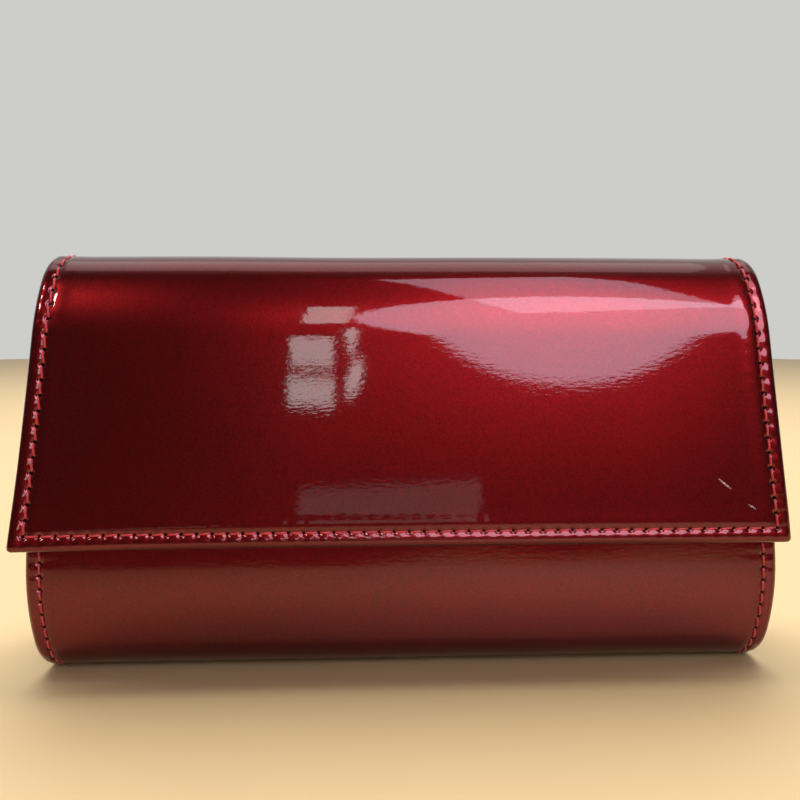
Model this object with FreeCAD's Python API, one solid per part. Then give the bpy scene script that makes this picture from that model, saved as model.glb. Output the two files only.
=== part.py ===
"""Flap clutch bag: a stiffened wrap of patent sheet with folding side gussets.

One long wrap makes the front, base, back and flap of the bag. It is built up in layers: a
glossy skin turned in round every edge, a foam, stiff boards, and a cloth lining. Two pleated
gussets close the sides. A magnetic snap holds the flap down, and inside are a slip pocket on
the front wall and a zipped pocket on the back wall.

Frame: +Z up, X along the bag's width, the flap faces -Y, and the origin is under the middle
of the bag on the surface that it stands on. All sizes are in millimetres.
"""
import FreeCAD, Part
import math
import os

Vector = FreeCAD.Vector

# ---- overall sizes ----
BAG_WIDTH = 255.0            # widest, across the lower part of the front
BAG_DEPTH = 52.0             # flap's lower edge to the back
BAG_HEIGHT = 142.0
WIDEST_HEIGHT = 40.0         # where the sides are furthest apart
SIDE_RADIUS = 240.0          # bow of the side outline, seen from the front
SIDE_TAPER = 4.5             # degrees that each side leans in above the bow

# ---- side profile ----
FRONT_LEAN = 8.5             # degrees that flap and front panel lean back
FLAP_EDGE_HEIGHT = 47.0      # flap's lower edge above the base
SHOULDER_RADIUS = 55.0       # gentle bend where the flap leaves its flat run
SHOULDER_TURN = 20.0         # degrees turned by that bend
CREST_RADIUS = 16.7          # front half of the rounded top
FRONT_TOP_DROP = 32.0        # mouth edge of the front panel below the bag's top
BELLY_RADIUS = 82.0
BELLY_TURN = 18.0            # degrees
TOE_RADIUS = 14.0            # front lower corner
HEEL_RADIUS = 12.0           # back lower corner
HINGE_TURN = 35.0            # degrees round the back of the top where the flap bends
HINGE_GAP = 0.4              # between the fixed and the moving half of the wrap

# ---- layers, outside to inside ----
SKIN = 0.8
FOAM = 0.8
BOARD = 0.8
CLOTH = 0.4
GLUE = 0.05                  # clearance between glued layers
HEM = 9.0                    # skin turned in along an edge
FACING = 25.0                # skin turned in along the mouth edge of the front
LINING_INSET = 2.5           # flap lining's edge from the flap's edge
WRAP = 2 * SKIN + FOAM + BOARD

# ---- stitching ----
STITCH_INSET = 4.6
THREAD_WIDTH = 0.7
THREAD_DEPTH = 0.35
GROOVE_CLEARANCE = 0.08

# ---- side gussets ----
GUSSET_SHEET = 0.8
GUSSET_EDGE_INSET = 1.5      # flange's outer edge from the wrap's edge
GUSSET_RECESS = 9.5          # web from the wrap's edge
GUSSET_DROP = 4.0            # gusset's top below the mouth edge
PLEAT_DEPTH = 13.0           # inward fold at the gusset's top
PLEAT_START = 18.0           # height where the fold begins
PLEAT_LEVELS = 5
CLOTH_CLEARANCE = 0.25       # between gusset and its lining
PLEAT_MARGIN = 3.0           # pleat sheet below the base, before it is trimmed to the wrap

# ---- lining and pockets ----
LINING_GAP = 0.1
POCKET_ROOM = 2.4            # between back board and back lining, for the zipped pouch
LINING_SIDE_INSET = 13.5
LINING_OVERLAP = 5.0         # lining laid over a facing
FACING_RISE = 1.2            # back facing's lower edge above the zip's tape
SLIP_DROP = 34.0             # slip pocket's mouth below the front's mouth edge
SLIP_RISE = 3.0              # slip pocket's bottom above the front's curve
SLIP_WIDTH = 120.0
SLIP_ROOM = 1.1              # slack inside the slip pocket
SLIP_SEAM = 1.2

# ---- zip ----
ZIP_DROP = 15.0              # zip's centre line below the gussets' top
ZIP_LENGTH = 128.0           # between the stops
TAPE_THICKNESS = 0.5
TAPE_REACH = 12.0            # tape's edge from the centre line
TAPE_TAIL = 8.0              # tape past each stop
ROW_GAP = 0.9                # between the two rows, room for the slider's post
ROW_WIDTH = 1.75
ROW_THICKNESS = 1.4
STOP_LENGTH = 1.6
STOP_MARGIN = 0.2
WINDOW_HEIGHT = 10.0         # opening in the lining that shows the zip
WINDOW_MARGIN = 1.0
POUCH_CLOTH = 0.3
POUCH_BOTTOM = 32.0
POUCH_SIDE_MARGIN = 3.0

# ---- zip slider and pull ----
SLIDER_LENGTH = 9.0
SLIDER_WIDTH = 7.0
SLIDER_PLATE = 0.7
SLIDER_LIP = 0.7
SLIDER_PLAY = 0.12
SLIDER_FROM_STOP = 0.5
POST_THICKNESS = 0.6
POST_LENGTH = 2.2
BAIL_RADIUS = 0.45
BAIL_LEG = 0.8
BAIL_RISE = 1.35             # bail's axis above the slider's front plate
PULL_BARREL_RADIUS = 1.1
PULL_PLAY = 0.1
PULL_SIDE_PLAY = 0.4
PULL_LENGTH = 15.0
PULL_WIDTH = 4.5
PULL_THICKNESS = 0.9

# ---- magnetic snap ----
SNAP_RISE = 25.0             # snap's centre above the flap's lower edge
SNAP_RADIUS = 9.0
SOCKET_THICKNESS = 3.9
SOCKET_PLATE = 0.7
CASE_WALL = 0.4
SOCKET_HOLE_RADIUS = 3.4
MAGNET_CLEARANCE = 0.1
STUD_PLATE = 2.0
STUD_RIM = 0.9
STUD_RIM_STEP = 1.6
STUD_ROOT_RADIUS = 2.6
STUD_TIP_RADIUS = 1.9
STUD_LENGTH = 1.8
SNAP_PLAY = 0.1              # between the closed halves
PRONG_SPACING = 8.0
PRONG_WIDTH = 3.0
PRONG_THICKNESS = 0.3
PRONG_FOOT = 2.6
WASHER_LENGTH = 15.0
WASHER_WIDTH = 7.0
WASHER_THICKNESS = 0.4
SLOT_CLEARANCE = 0.15

# ---- worked out ----
LEAN = math.radians(FRONT_LEAN)
SHOULDER = math.radians(FRONT_LEAN + SHOULDER_TURN)
BACK_Y = BAG_DEPTH / 2
FLAP_EDGE_Y = -BAG_DEPTH / 2
FLAP_RUN = (BAG_HEIGHT - FLAP_EDGE_HEIGHT - SHOULDER_RADIUS * (math.sin(SHOULDER) - math.sin(LEAN))
            - CREST_RADIUS * (1 - math.sin(SHOULDER))) / math.cos(LEAN)
CROWN_RADIUS = (BAG_DEPTH - FLAP_RUN * math.sin(LEAN)
                - SHOULDER_RADIUS * (math.cos(LEAN) - math.cos(SHOULDER))
                - CREST_RADIUS * math.cos(SHOULDER))
CROWN_HEIGHT = BAG_HEIGHT - CROWN_RADIUS
FRONT_TOP_HEIGHT = BAG_HEIGHT - FRONT_TOP_DROP
SNAP_HEIGHT = FLAP_EDGE_HEIGHT + SNAP_RISE
FLAP_STACK = WRAP + CLOTH
SNAP_GAP = SOCKET_THICKNESS + STUD_PLATE + SNAP_PLAY
FRONT_SETBACK = FLAP_STACK + SNAP_GAP
FRONT_Y_AT_EDGE = FLAP_EDGE_Y + FRONT_SETBACK / math.cos(LEAN)
BELLY = math.radians(BELLY_TURN)
TOE = math.pi / 2 + LEAN - BELLY
LONG = BAG_WIDTH                     # reach of cutting blocks past the bag
OVERCUT = 1.0                        # reach of a cut past the face that it opens
OUTLINE_MARGIN = 5.0                 # outline past the base and the top
LINING_DEPTH = WRAP + LINING_GAP
SLIP_DEPTH = LINING_DEPTH + CLOTH + LINING_GAP
GUSSET_TOP = FRONT_TOP_HEIGHT - GUSSET_DROP
ZIP_HEIGHT = GUSSET_TOP - ZIP_DROP
FACING_LOW = ZIP_HEIGHT + TAPE_REACH + FACING_RISE
ZIP_DEPTH = LINING_DEPTH + POCKET_ROOM - LINING_GAP - TAPE_THICKNESS / 2
STUD_GRIP = CLOTH + SKIN + BOARD + GLUE  # from the flap's inner face to the washer
SLIDER_X = ZIP_LENGTH / 2 - SLIDER_FROM_STOP - SLIDER_LENGTH / 2
ROW_REACH = ROW_GAP / 2 + ROW_WIDTH
SLIDER_FRONT_DEPTH = ZIP_DEPTH + ROW_THICKNESS / 2 + SLIDER_PLAY
SLIDER_BACK_DEPTH = ZIP_DEPTH - ROW_THICKNESS / 2 - SLIDER_PLAY
BAIL_DEPTH = SLIDER_FRONT_DEPTH + SLIDER_PLATE + BAIL_RISE


# ---- profile paths ----
def run(length):
    """A straight step of a path."""
    return ("run", length, 0.0)


def bend(radius, turn):
    """A left-hand arc of a path, its turn in radians."""
    return ("bend", radius, turn)


class Path:
    """Tangent runs and left-hand bends in the Y-Z plane. Depth is measured to their left."""

    def __init__(self, y, z, heading, steps):
        self.start = (y, z)
        self.heading = heading
        self.steps = [s for s in steps if (s[1] if s[0] == "run" else s[2]) > 1e-6]

    def edges(self, depth):
        """Edges of the line that lies depth inside the path, and its two end points."""
        heading = self.heading
        y = self.start[0] - depth * math.sin(heading)
        z = self.start[1] + depth * math.cos(heading)
        first = Vector(0, y, z)
        made = []
        for kind, size, turn in self.steps:
            here = Vector(0, y, z)
            if kind == "run":
                y += size * math.cos(heading)
                z += size * math.sin(heading)
                made.append(Part.LineSegment(here, Vector(0, y, z)).toShape())
                continue
            radius = size - depth
            cy = y - radius * math.sin(heading)
            cz = z + radius * math.cos(heading)
            half = heading + turn / 2
            middle = Vector(0, cy + radius * math.sin(half), cz - radius * math.cos(half))
            heading += turn
            y = cy + radius * math.sin(heading)
            z = cz - radius * math.cos(heading)
            made.append(Part.Arc(here, middle, Vector(0, y, z)).toShape())
        return made, first, Vector(0, y, z)


def front_start(height):
    """Point on the front panel's outer face at a height above its belly."""
    return FRONT_Y_AT_EDGE + (height - FLAP_EDGE_HEIGHT) * math.tan(LEAN), height


def front_steps(top_height):
    """Steps of the front panel from its mouth edge to the end of the belly."""
    return [run((top_height - BELLY_HEIGHT) / math.cos(LEAN)), bend(BELLY_RADIUS, BELLY)]


def toe_rise():
    """Height taken up by the belly and the toe under the front panel's flat run."""
    low = 3 * math.pi / 2 - LEAN
    belly = BELLY_RADIUS * (math.cos(low + BELLY) - math.cos(low))
    toe = TOE_RADIUS * (math.cos(2 * math.pi) - math.cos(low + BELLY))
    return belly + toe


BELLY_HEIGHT = toe_rise()


def base_start_y():
    """Where the flat base starts, behind the toe."""
    low = 3 * math.pi / 2 - LEAN
    y = front_start(BELLY_HEIGHT)[0]
    y += BELLY_RADIUS * (math.sin(low + BELLY) - math.sin(low))
    return y + TOE_RADIUS * (math.sin(2 * math.pi) - math.sin(low + BELLY))


BASE_START_Y = base_start_y()
BASE_RUN = BACK_Y - HEEL_RADIUS - BASE_START_Y
BACK_RUN = CROWN_HEIGHT - HEEL_RADIUS
HINGE = math.radians(HINGE_TURN)
HINGE_Y = BACK_Y - CROWN_RADIUS * (1 - math.cos(HINGE))
HINGE_Z = CROWN_HEIGHT + CROWN_RADIUS * math.sin(HINGE)


def body_path(top_trim=0.0, end_trim=HINGE_GAP / 2, base_cut=0.0):
    """Front, base and back of the wrap, from the mouth edge to the hinge."""
    top = FRONT_TOP_HEIGHT - top_trim * math.cos(LEAN)
    steps = front_steps(top) + [bend(TOE_RADIUS, TOE), run(BASE_RUN - base_cut),
                                bend(HEEL_RADIUS, math.pi / 2), run(BACK_RUN),
                                bend(CROWN_RADIUS, HINGE - end_trim / CROWN_RADIUS)]
    y, z = front_start(top)
    return Path(y, z, 3 * math.pi / 2 - LEAN, steps)


def front_path(top_trim=0.0):
    """Front panel alone, with its belly."""
    top = FRONT_TOP_HEIGHT - top_trim * math.cos(LEAN)
    y, z = front_start(top)
    return Path(y, z, 3 * math.pi / 2 - LEAN, front_steps(top))


def base_path():
    """Flat base alone."""
    return Path(BASE_START_Y, 0.0, 0.0, [run(BASE_RUN)])


def back_path(low, high):
    """Flat part of the back between two heights."""
    return Path(BACK_Y, low, math.pi / 2, [run(high - low)])


def back_facing_path():
    """Inside of the back's top, from below the mouth to the hinge."""
    steps = [run(CROWN_HEIGHT - FACING_LOW),
             bend(CROWN_RADIUS, HINGE - HINGE_GAP / 2 / CROWN_RADIUS)]
    return Path(BACK_Y, FACING_LOW, math.pi / 2, steps)


def flap_path(edge_trim=0.0, start_trim=HINGE_GAP / 2):
    """Flap from the hinge over the top and down to its lower edge."""
    start = HINGE + start_trim / CROWN_RADIUS
    y = BACK_Y - CROWN_RADIUS * (1 - math.cos(start))
    z = CROWN_HEIGHT + CROWN_RADIUS * math.sin(start)
    steps = [bend(CROWN_RADIUS, math.pi / 2 - start), bend(CREST_RADIUS, math.pi / 2 - SHOULDER),
             bend(SHOULDER_RADIUS, SHOULDER - LEAN), run(FLAP_RUN - edge_trim)]
    return Path(y, z, math.pi / 2 + start, steps)


def flap_board_path(edge_trim):
    """The flap's stiff part: its shoulder and flat run."""
    y = BACK_Y - CROWN_RADIUS - CREST_RADIUS * math.cos(SHOULDER)
    z = BAG_HEIGHT - CREST_RADIUS * (1 - math.sin(SHOULDER))
    steps = [bend(SHOULDER_RADIUS, SHOULDER - LEAN), run(FLAP_RUN - edge_trim)]
    return Path(y, z, 3 * math.pi / 2 - SHOULDER, steps)


# ---- solids from paths ----
def band(path, near, far):
    """Strip between two depths of a path, longer in X than the bag."""
    outer, outer_start, outer_end = path.edges(near)
    inner, inner_start, inner_end = path.edges(far)
    ends = [Part.LineSegment(outer_end, inner_end).toShape(),
            Part.LineSegment(inner_start, outer_start).toShape()]
    wire = Part.Wire(Part.__sortEdges__(outer + inner + ends))
    face = Part.Face(wire)
    face.translate(Vector(-LONG, 0, 0))
    return face.extrude(Vector(2 * LONG, 0, 0))


def side_x(z, inset=0.0):
    """Half width of the bag at a height, less an inset."""
    centre = BAG_WIDTH / 2 - SIDE_RADIUS
    taper = math.radians(SIDE_TAPER)
    radius = SIDE_RADIUS - inset
    rise = z - WIDEST_HEIGHT
    if rise < radius * math.sin(taper):
        return centre + math.sqrt(radius ** 2 - rise ** 2)
    tangent = centre + radius * math.cos(taper)
    return tangent - (rise - radius * math.sin(taper)) * math.tan(taper)


def outline(inset):
    """Front outline of the bag, drawn in by an inset, as a block along Y."""
    low, high = -OUTLINE_MARGIN, BAG_HEIGHT + OUTLINE_MARGIN
    bow = WIDEST_HEIGHT + (SIDE_RADIUS - inset) * math.sin(math.radians(SIDE_TAPER))
    heights = (low, (low + bow) / 2, bow, high)
    right = [Vector(side_x(z, inset), -LONG, z) for z in heights]
    left = [Vector(-p.x, p.y, p.z) for p in right]
    edges = [Part.Arc(*right[:3]).toShape(), Part.LineSegment(right[2], right[3]).toShape(),
             Part.LineSegment(right[3], left[3]).toShape(),
             Part.LineSegment(left[3], left[2]).toShape(), Part.Arc(*left[:3]).toShape(),
             Part.LineSegment(left[0], right[0]).toShape()]
    face = Part.Face(Part.Wire(Part.__sortEdges__(edges)))
    return face.extrude(Vector(0, 2 * LONG, 0))


def layer(path, near, far, inset):
    """One layer of the wrap: a band cut to the bag's outline."""
    return band(path, near, far).common(outline(inset))


def block(x0, x1, y0, y1, z0, z1):
    """Box between opposite corners."""
    return Part.makeBox(x1 - x0, y1 - y0, z1 - z0, Vector(x0, y0, z0))


def half_space(side):
    """Everything on one side of the bag's middle."""
    return block(min(0, side * LONG), max(0, side * LONG), -LONG, LONG, -LONG, 2 * LONG)


def at_back(x0, x1, depth0, depth1, z0, z1):
    """Box at the back wall, its depths measured from the back's outer face."""
    return block(x0, x1, BACK_Y - depth1, BACK_Y - depth0, z0, z1)


def snap_place(shape, depth):
    """Puts a shape drawn along +Z on the front panel, its floor at a depth below the outer face."""
    y, z = front_start(SNAP_HEIGHT)
    out = Vector(0, -math.cos(LEAN), math.sin(LEAN))
    placed = shape.copy()
    placed.Placement = FreeCAD.Placement(Vector(0, y, z) - out * depth,
                                         FreeCAD.Rotation(Vector(0, 0, 1), out))
    return placed


def prong_pair(length, extra=0.0):
    """Two flat prongs standing along +Z, with their room if extra is given."""
    x = PRONG_SPACING / 2
    half = PRONG_WIDTH / 2 + extra
    thick = PRONG_THICKNESS / 2 + extra
    made = [block(s * x - thick, s * x + thick, -half, half, 0, length) for s in (-1, 1)]
    return made[0].fuse(made[1])


# ---- wrap, fixed half ----
def body_threads():
    """Topstitching along both sides of the front, base and back."""
    return band(body_path(STITCH_INSET), 0, THREAD_DEPTH).common(
        outline(STITCH_INSET).cut(outline(STITCH_INSET + THREAD_WIDTH)))


def body_groove():
    """Room for the side topstitching in the skin."""
    play = GROOVE_CLEARANCE
    return band(body_path(STITCH_INSET - play, -OVERCUT), -OVERCUT, THREAD_DEPTH + play).common(
        outline(STITCH_INSET - play).cut(outline(STITCH_INSET + THREAD_WIDTH + play)))


def body_skin():
    """Outer skin of the front, base and back, turned in at the sides and the mouth."""
    whole = layer(body_path(), 0, WRAP, 0)
    core = layer(body_path(SKIN, -OVERCUT), SKIN, WRAP - SKIN, SKIN)
    window = layer(body_path(FACING, -OVERCUT), WRAP - SKIN, WRAP + OVERCUT, HEM)
    skin = whole.cut(core).cut(window).cut(body_groove())
    return skin.cut(snap_place(prong_pair(WRAP, SLOT_CLEARANCE), WRAP - SKIN))


def body_foam():
    """Foam under the skin, all the way round the fixed half."""
    inset = SKIN + GLUE
    foam = layer(body_path(inset), SKIN + GLUE, SKIN + FOAM - GLUE, inset)
    return foam.cut(snap_place(prong_pair(WRAP, SLOT_CLEARANCE), WRAP - SKIN))


def board_depths():
    """Depths of a board's two faces."""
    return SKIN + FOAM, SKIN + FOAM + BOARD - GLUE


def front_board():
    """Stiff board in the front panel."""
    near, far = board_depths()
    board = layer(front_path(SKIN + GLUE), near, far, SKIN + GLUE)
    return board.cut(snap_place(prong_pair(WRAP, SLOT_CLEARANCE), WRAP - SKIN))


def base_board():
    """Stiff board in the base."""
    near, far = board_depths()
    return layer(base_path(), near, far, SKIN + GLUE)


def back_board():
    """Stiff board in the back panel."""
    near, far = board_depths()
    return layer(back_path(HEEL_RADIUS, CROWN_HEIGHT), near, far, SKIN + GLUE)


# ---- wrap, flap ----
def flap_line(edge_trim, near, far, play):
    """Stitch line round the flap's three free edges, as a band with play around it."""
    outer = band(flap_path(edge_trim - play, -OVERCUT if play else HINGE_GAP / 2), near, far)
    inner = band(flap_path(edge_trim + THREAD_WIDTH + play, -2 * OVERCUT), near - OVERCUT,
                 far + OVERCUT)
    ring = outer.common(outline(edge_trim - play))
    return ring.cut(inner.common(outline(edge_trim + THREAD_WIDTH + play)))


def flap_threads():
    """Topstitching round the flap's three free edges."""
    return flap_line(STITCH_INSET, 0, THREAD_DEPTH, 0.0)


def flap_skin():
    """Outer skin of the flap, turned in round its three free edges."""
    whole = layer(flap_path(), 0, WRAP, 0)
    core = layer(flap_path(SKIN, -OVERCUT), SKIN, WRAP - SKIN, SKIN)
    window = layer(flap_path(HEM, -OVERCUT), WRAP - SKIN, WRAP + OVERCUT, HEM)
    groove = flap_line(STITCH_INSET, -OVERCUT, THREAD_DEPTH + GROOVE_CLEARANCE, GROOVE_CLEARANCE)
    return whole.cut(core).cut(window).cut(groove)


def flap_foam():
    """Foam under the flap's skin, with a recess for the snap's washer."""
    inset = SKIN + GLUE
    foam = layer(flap_path(inset), SKIN + GLUE, SKIN + FOAM - GLUE, inset)
    reach = PRONG_SPACING / 2 + PRONG_FOOT + SLOT_CLEARANCE
    room = block(-max(reach, WASHER_LENGTH / 2 + SLOT_CLEARANCE),
                 max(reach, WASHER_LENGTH / 2 + SLOT_CLEARANCE),
                 -WASHER_WIDTH / 2 - SLOT_CLEARANCE, WASHER_WIDTH / 2 + SLOT_CLEARANCE,
                 -FOAM, FOAM)
    return foam.cut(snap_place(room, -FRONT_SETBACK + SKIN + FOAM / 2))


def stud_slots(shape):
    """Cuts the stud's prong slots through a layer of the flap."""
    return shape.cut(snap_place(prong_pair(FLAP_STACK, SLOT_CLEARANCE), -SNAP_GAP))


def flap_board():
    """Stiff board in the flap's flat part."""
    near, far = board_depths()
    return stud_slots(layer(flap_board_path(SKIN + GLUE), near, far, SKIN + GLUE))


def flap_lining():
    """Cloth on the flap's underside, from the hinge to near the lower edge."""
    cloth = layer(flap_path(LINING_INSET), WRAP, FLAP_STACK, LINING_INSET)
    return stud_slots(cloth)


# ---- gussets ----
def inner_y(z, front):
    """Wrap's inner face at a height, on the straight part of the front or at the back."""
    if front:
        return front_start(z)[0] + WRAP / math.cos(LEAN)
    return BACK_Y - WRAP


def pleat(side, recess, thickness, top):
    """A web across one side of the bag, folded inward in a V that deepens to its top."""
    levels = [-PLEAT_MARGIN, PLEAT_START]
    step = (top - PLEAT_START) / PLEAT_LEVELS
    levels += [PLEAT_START + step * (i + 1) for i in range(PLEAT_LEVELS)]
    rows = []
    for z in levels:
        front_y, back_y = inner_y(z, True), inner_y(z, False)
        middle, half = (front_y + back_y) / 2, (back_y - front_y) / 2
        fold = PLEAT_DEPTH * max(0.0, z - PLEAT_START) / (GUSSET_TOP - PLEAT_START)
        edge = side_x(z) - recess
        over = half + 3 * WRAP + TOE_RADIUS
        flare = fold * (over / half - 1)
        rows.append([Vector(side * (edge + flare), middle - over, z),
                     Vector(side * (edge - fold), middle, z),
                     Vector(side * (edge + flare), middle + over, z)])
    return sheet_solid(rows, Vector(side * thickness, 0, 0))


def sheet_solid(rows, thickness):
    """Closed solid between a grid of points and the same grid moved by a thickness."""
    far = [[p + thickness for p in row] for row in rows]
    faces = []

    def add(*corners):
        faces.append(Part.Face(Part.makePolygon(list(corners) + [corners[0]])))

    last_row, last_col = len(rows) - 1, len(rows[0]) - 1
    for grid in (rows, far):
        for i in range(last_row):
            for j in range(last_col):
                a, b = grid[i][j], grid[i][j + 1]
                c, d = grid[i + 1][j + 1], grid[i + 1][j]
                add(a, b, c)
                add(a, c, d)
    for i in range(last_row):
        for j in (0, last_col):
            add(rows[i][j], rows[i + 1][j], far[i + 1][j], far[i][j])
    for j in range(last_col):
        for i in (0, last_row):
            add(rows[i][j], rows[i][j + 1], far[i][j + 1], far[i][j])
    solid = Part.Solid(Part.Shell(faces))
    if solid.Volume < 0:
        solid.reverse()
    return solid


def inside_wrap(depth, top, base_cut=0.0):
    """Space inside the wrap at a depth below its outer face, up to a height."""
    edges, first, last = body_path(0.0, HINGE_GAP / 2, base_cut).edges(depth)
    wire = Part.Wire(Part.__sortEdges__(edges + [Part.LineSegment(last, first).toShape()]))
    space = Part.Face(wire)
    space.translate(Vector(-LONG, 0, 0))
    space = space.extrude(Vector(2 * LONG, 0, 0))
    return space.common(block(-LONG, LONG, -LONG, LONG, -LONG, top))


def gusset(side):
    """Side gusset: a flange glued inside the wrap's edge and a pleated web."""
    near = WRAP + GLUE
    flange = band(body_path(), near, near + GUSSET_SHEET).common(
        outline(GUSSET_EDGE_INSET).cut(outline(GUSSET_RECESS)))
    flange = flange.common(half_space(side)).common(
        block(-LONG, LONG, -LONG, LONG, -LONG, GUSSET_TOP))
    web = pleat(side, GUSSET_RECESS, GUSSET_SHEET, GUSSET_TOP).common(
        inside_wrap(near, GUSSET_TOP))
    return flange.fuse(web).removeSplitter()


def gusset_lining(side):
    """Cloth behind the pleated web, facing the inside of the bag."""
    depth = LINING_DEPTH + CLOTH + CLOTH_CLEARANCE
    recess = GUSSET_RECESS + CLOTH + CLOTH_CLEARANCE
    return pleat(side, recess, CLOTH, GUSSET_TOP).common(
        inside_wrap(depth, GUSSET_TOP, POCKET_ROOM))


# ---- lining and pockets ----
def shell_lining():
    """Cloth lining of the front, base and back, with the zip's window."""
    trim = FACING - LINING_OVERLAP
    high = FACING_LOW + LINING_OVERLAP
    path = body_path(trim, HINGE_GAP / 2, POCKET_ROOM)
    cloth = layer(path, LINING_DEPTH, LINING_DEPTH + CLOTH, LINING_SIDE_INSET)
    cloth = cloth.cut(block(-LONG, LONG, 0, LONG, high, 2 * LONG))
    half = ZIP_LENGTH / 2 + STOP_LENGTH + WINDOW_MARGIN
    return cloth.cut(block(-half, half, 0, LONG, ZIP_HEIGHT - WINDOW_HEIGHT / 2,
                           ZIP_HEIGHT + WINDOW_HEIGHT / 2))


def back_facing():
    """Skin facing inside the back's top, above the lining."""
    return layer(back_facing_path(), WRAP + GLUE, WRAP + GLUE + SKIN, GUSSET_RECESS + 2 * CLOTH)


def slip_pocket():
    """Open pocket on the front wall, joined to the lining along its sides and bottom."""
    far = SLIP_DEPTH + SLIP_ROOM + CLOTH
    half = SLIP_WIDTH / 2

    def sheet(trim, height, near, deep, width):
        top = FRONT_TOP_HEIGHT - trim * math.cos(LEAN)
        y, z = front_start(top)
        path = Path(y, z, 3 * math.pi / 2 - LEAN, [run(height)])
        return band(path, near, deep).common(block(-width, width, -LONG, LONG, 0, LONG))

    height = (FRONT_TOP_HEIGHT - BELLY_HEIGHT - SLIP_RISE) / math.cos(LEAN) - SLIP_DROP
    whole = sheet(SLIP_DROP, height, SLIP_DEPTH, far, half)
    room = sheet(SLIP_DROP - OVERCUT, height + OVERCUT - SLIP_SEAM, SLIP_DEPTH - OVERCUT, far - CLOTH,
                 half - SLIP_SEAM)
    return whole.cut(room)


def zip_pouch():
    """Flat cloth bag behind the zip, open towards it."""
    half = ZIP_LENGTH / 2 + TAPE_TAIL - POUCH_SIDE_MARGIN
    mouth_half = ZIP_LENGTH / 2 + STOP_LENGTH + WINDOW_MARGIN
    near, far = WRAP + LINING_GAP, ZIP_DEPTH - TAPE_THICKNESS / 2 - GLUE
    top = ZIP_HEIGHT + TAPE_REACH
    whole = at_back(-half, half, near, far, POUCH_BOTTOM, top)
    room = at_back(-half + POUCH_CLOTH, half - POUCH_CLOTH, near + POUCH_CLOTH,
                   far - POUCH_CLOTH, POUCH_BOTTOM + POUCH_CLOTH, top - POUCH_CLOTH)
    reach = ROW_REACH + SLIDER_WIDTH / 2
    mouth = at_back(-mouth_half, mouth_half, near + POUCH_CLOTH, far + OVERCUT,
                    ZIP_HEIGHT - reach, ZIP_HEIGHT + reach)
    return whole.cut(room).cut(mouth)


def zip_tapes():
    """Woven tapes above and below the zip's rows."""
    half = ZIP_LENGTH / 2 + TAPE_TAIL
    near = ZIP_DEPTH - TAPE_THICKNESS / 2
    far = ZIP_DEPTH + TAPE_THICKNESS / 2
    return [at_back(-half, half, near, far, ZIP_HEIGHT + ROW_REACH, ZIP_HEIGHT + TAPE_REACH),
            at_back(-half, half, near, far, ZIP_HEIGHT - TAPE_REACH, ZIP_HEIGHT - ROW_REACH)]


def zip_rows():
    """The zip's two rows of teeth, each as one plain bar."""
    half = ZIP_LENGTH / 2
    near = ZIP_DEPTH - ROW_THICKNESS / 2
    far = ZIP_DEPTH + ROW_THICKNESS / 2
    gap = ROW_GAP / 2
    return [at_back(-half, half, near, far, ZIP_HEIGHT + gap, ZIP_HEIGHT + ROW_REACH),
            at_back(-half, half, near, far, ZIP_HEIGHT - ROW_REACH, ZIP_HEIGHT - gap)]


def zip_stops():
    """Metal stops across both ends of the rows."""
    near = ZIP_DEPTH - ROW_THICKNESS / 2
    far = ZIP_DEPTH + ROW_THICKNESS / 2
    start = ZIP_LENGTH / 2 + GLUE
    reach = ROW_REACH - STOP_MARGIN
    ends = [(start, start + STOP_LENGTH), (-start - STOP_LENGTH, -start)]
    return [at_back(a, b, near, far, ZIP_HEIGHT - reach, ZIP_HEIGHT + reach) for a, b in ends]


def zip_slider():
    """Slider: two plates with lips, joined by a post between the rows, and a bail in front."""
    half_width = SLIDER_WIDTH / 2
    x0, x1 = SLIDER_X - SLIDER_LENGTH / 2, SLIDER_X + SLIDER_LENGTH / 2
    front, back = SLIDER_FRONT_DEPTH, SLIDER_BACK_DEPTH
    tape = TAPE_THICKNESS / 2 + SLIDER_PLAY
    parts = [at_back(x0, x1, front, front + SLIDER_PLATE, ZIP_HEIGHT - half_width,
                     ZIP_HEIGHT + half_width),
             at_back(x0, x1, back - SLIDER_PLATE, back, ZIP_HEIGHT - half_width,
                     ZIP_HEIGHT + half_width)]
    post_x = x1 - POST_LENGTH
    parts.append(at_back(post_x, x1, back, front, ZIP_HEIGHT - POST_THICKNESS / 2,
                         ZIP_HEIGHT + POST_THICKNESS / 2))
    for low, high in ((half_width - SLIDER_LIP, half_width), (-half_width, SLIDER_LIP - half_width)):
        parts.append(at_back(x0, x1, ZIP_DEPTH + tape, front, ZIP_HEIGHT + low, ZIP_HEIGHT + high))
        parts.append(at_back(x0, x1, back, ZIP_DEPTH - tape, ZIP_HEIGHT + low, ZIP_HEIGHT + high))
    reach = PULL_WIDTH / 2 + PULL_SIDE_PLAY
    for x in (SLIDER_X - reach - BAIL_LEG, SLIDER_X + reach):
        parts.append(at_back(x, x + BAIL_LEG, front + SLIDER_PLATE, BAIL_DEPTH + BAIL_RADIUS,
                             ZIP_HEIGHT - BAIL_RADIUS, ZIP_HEIGHT + BAIL_RADIUS))
    parts.append(Part.makeCylinder(BAIL_RADIUS, 2 * (reach + BAIL_LEG / 2),
                                   Vector(SLIDER_X - reach - BAIL_LEG / 2, BACK_Y - BAIL_DEPTH,
                                          ZIP_HEIGHT), Vector(1, 0, 0)))
    return parts[0].multiFuse(parts[1:]).removeSplitter()


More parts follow.
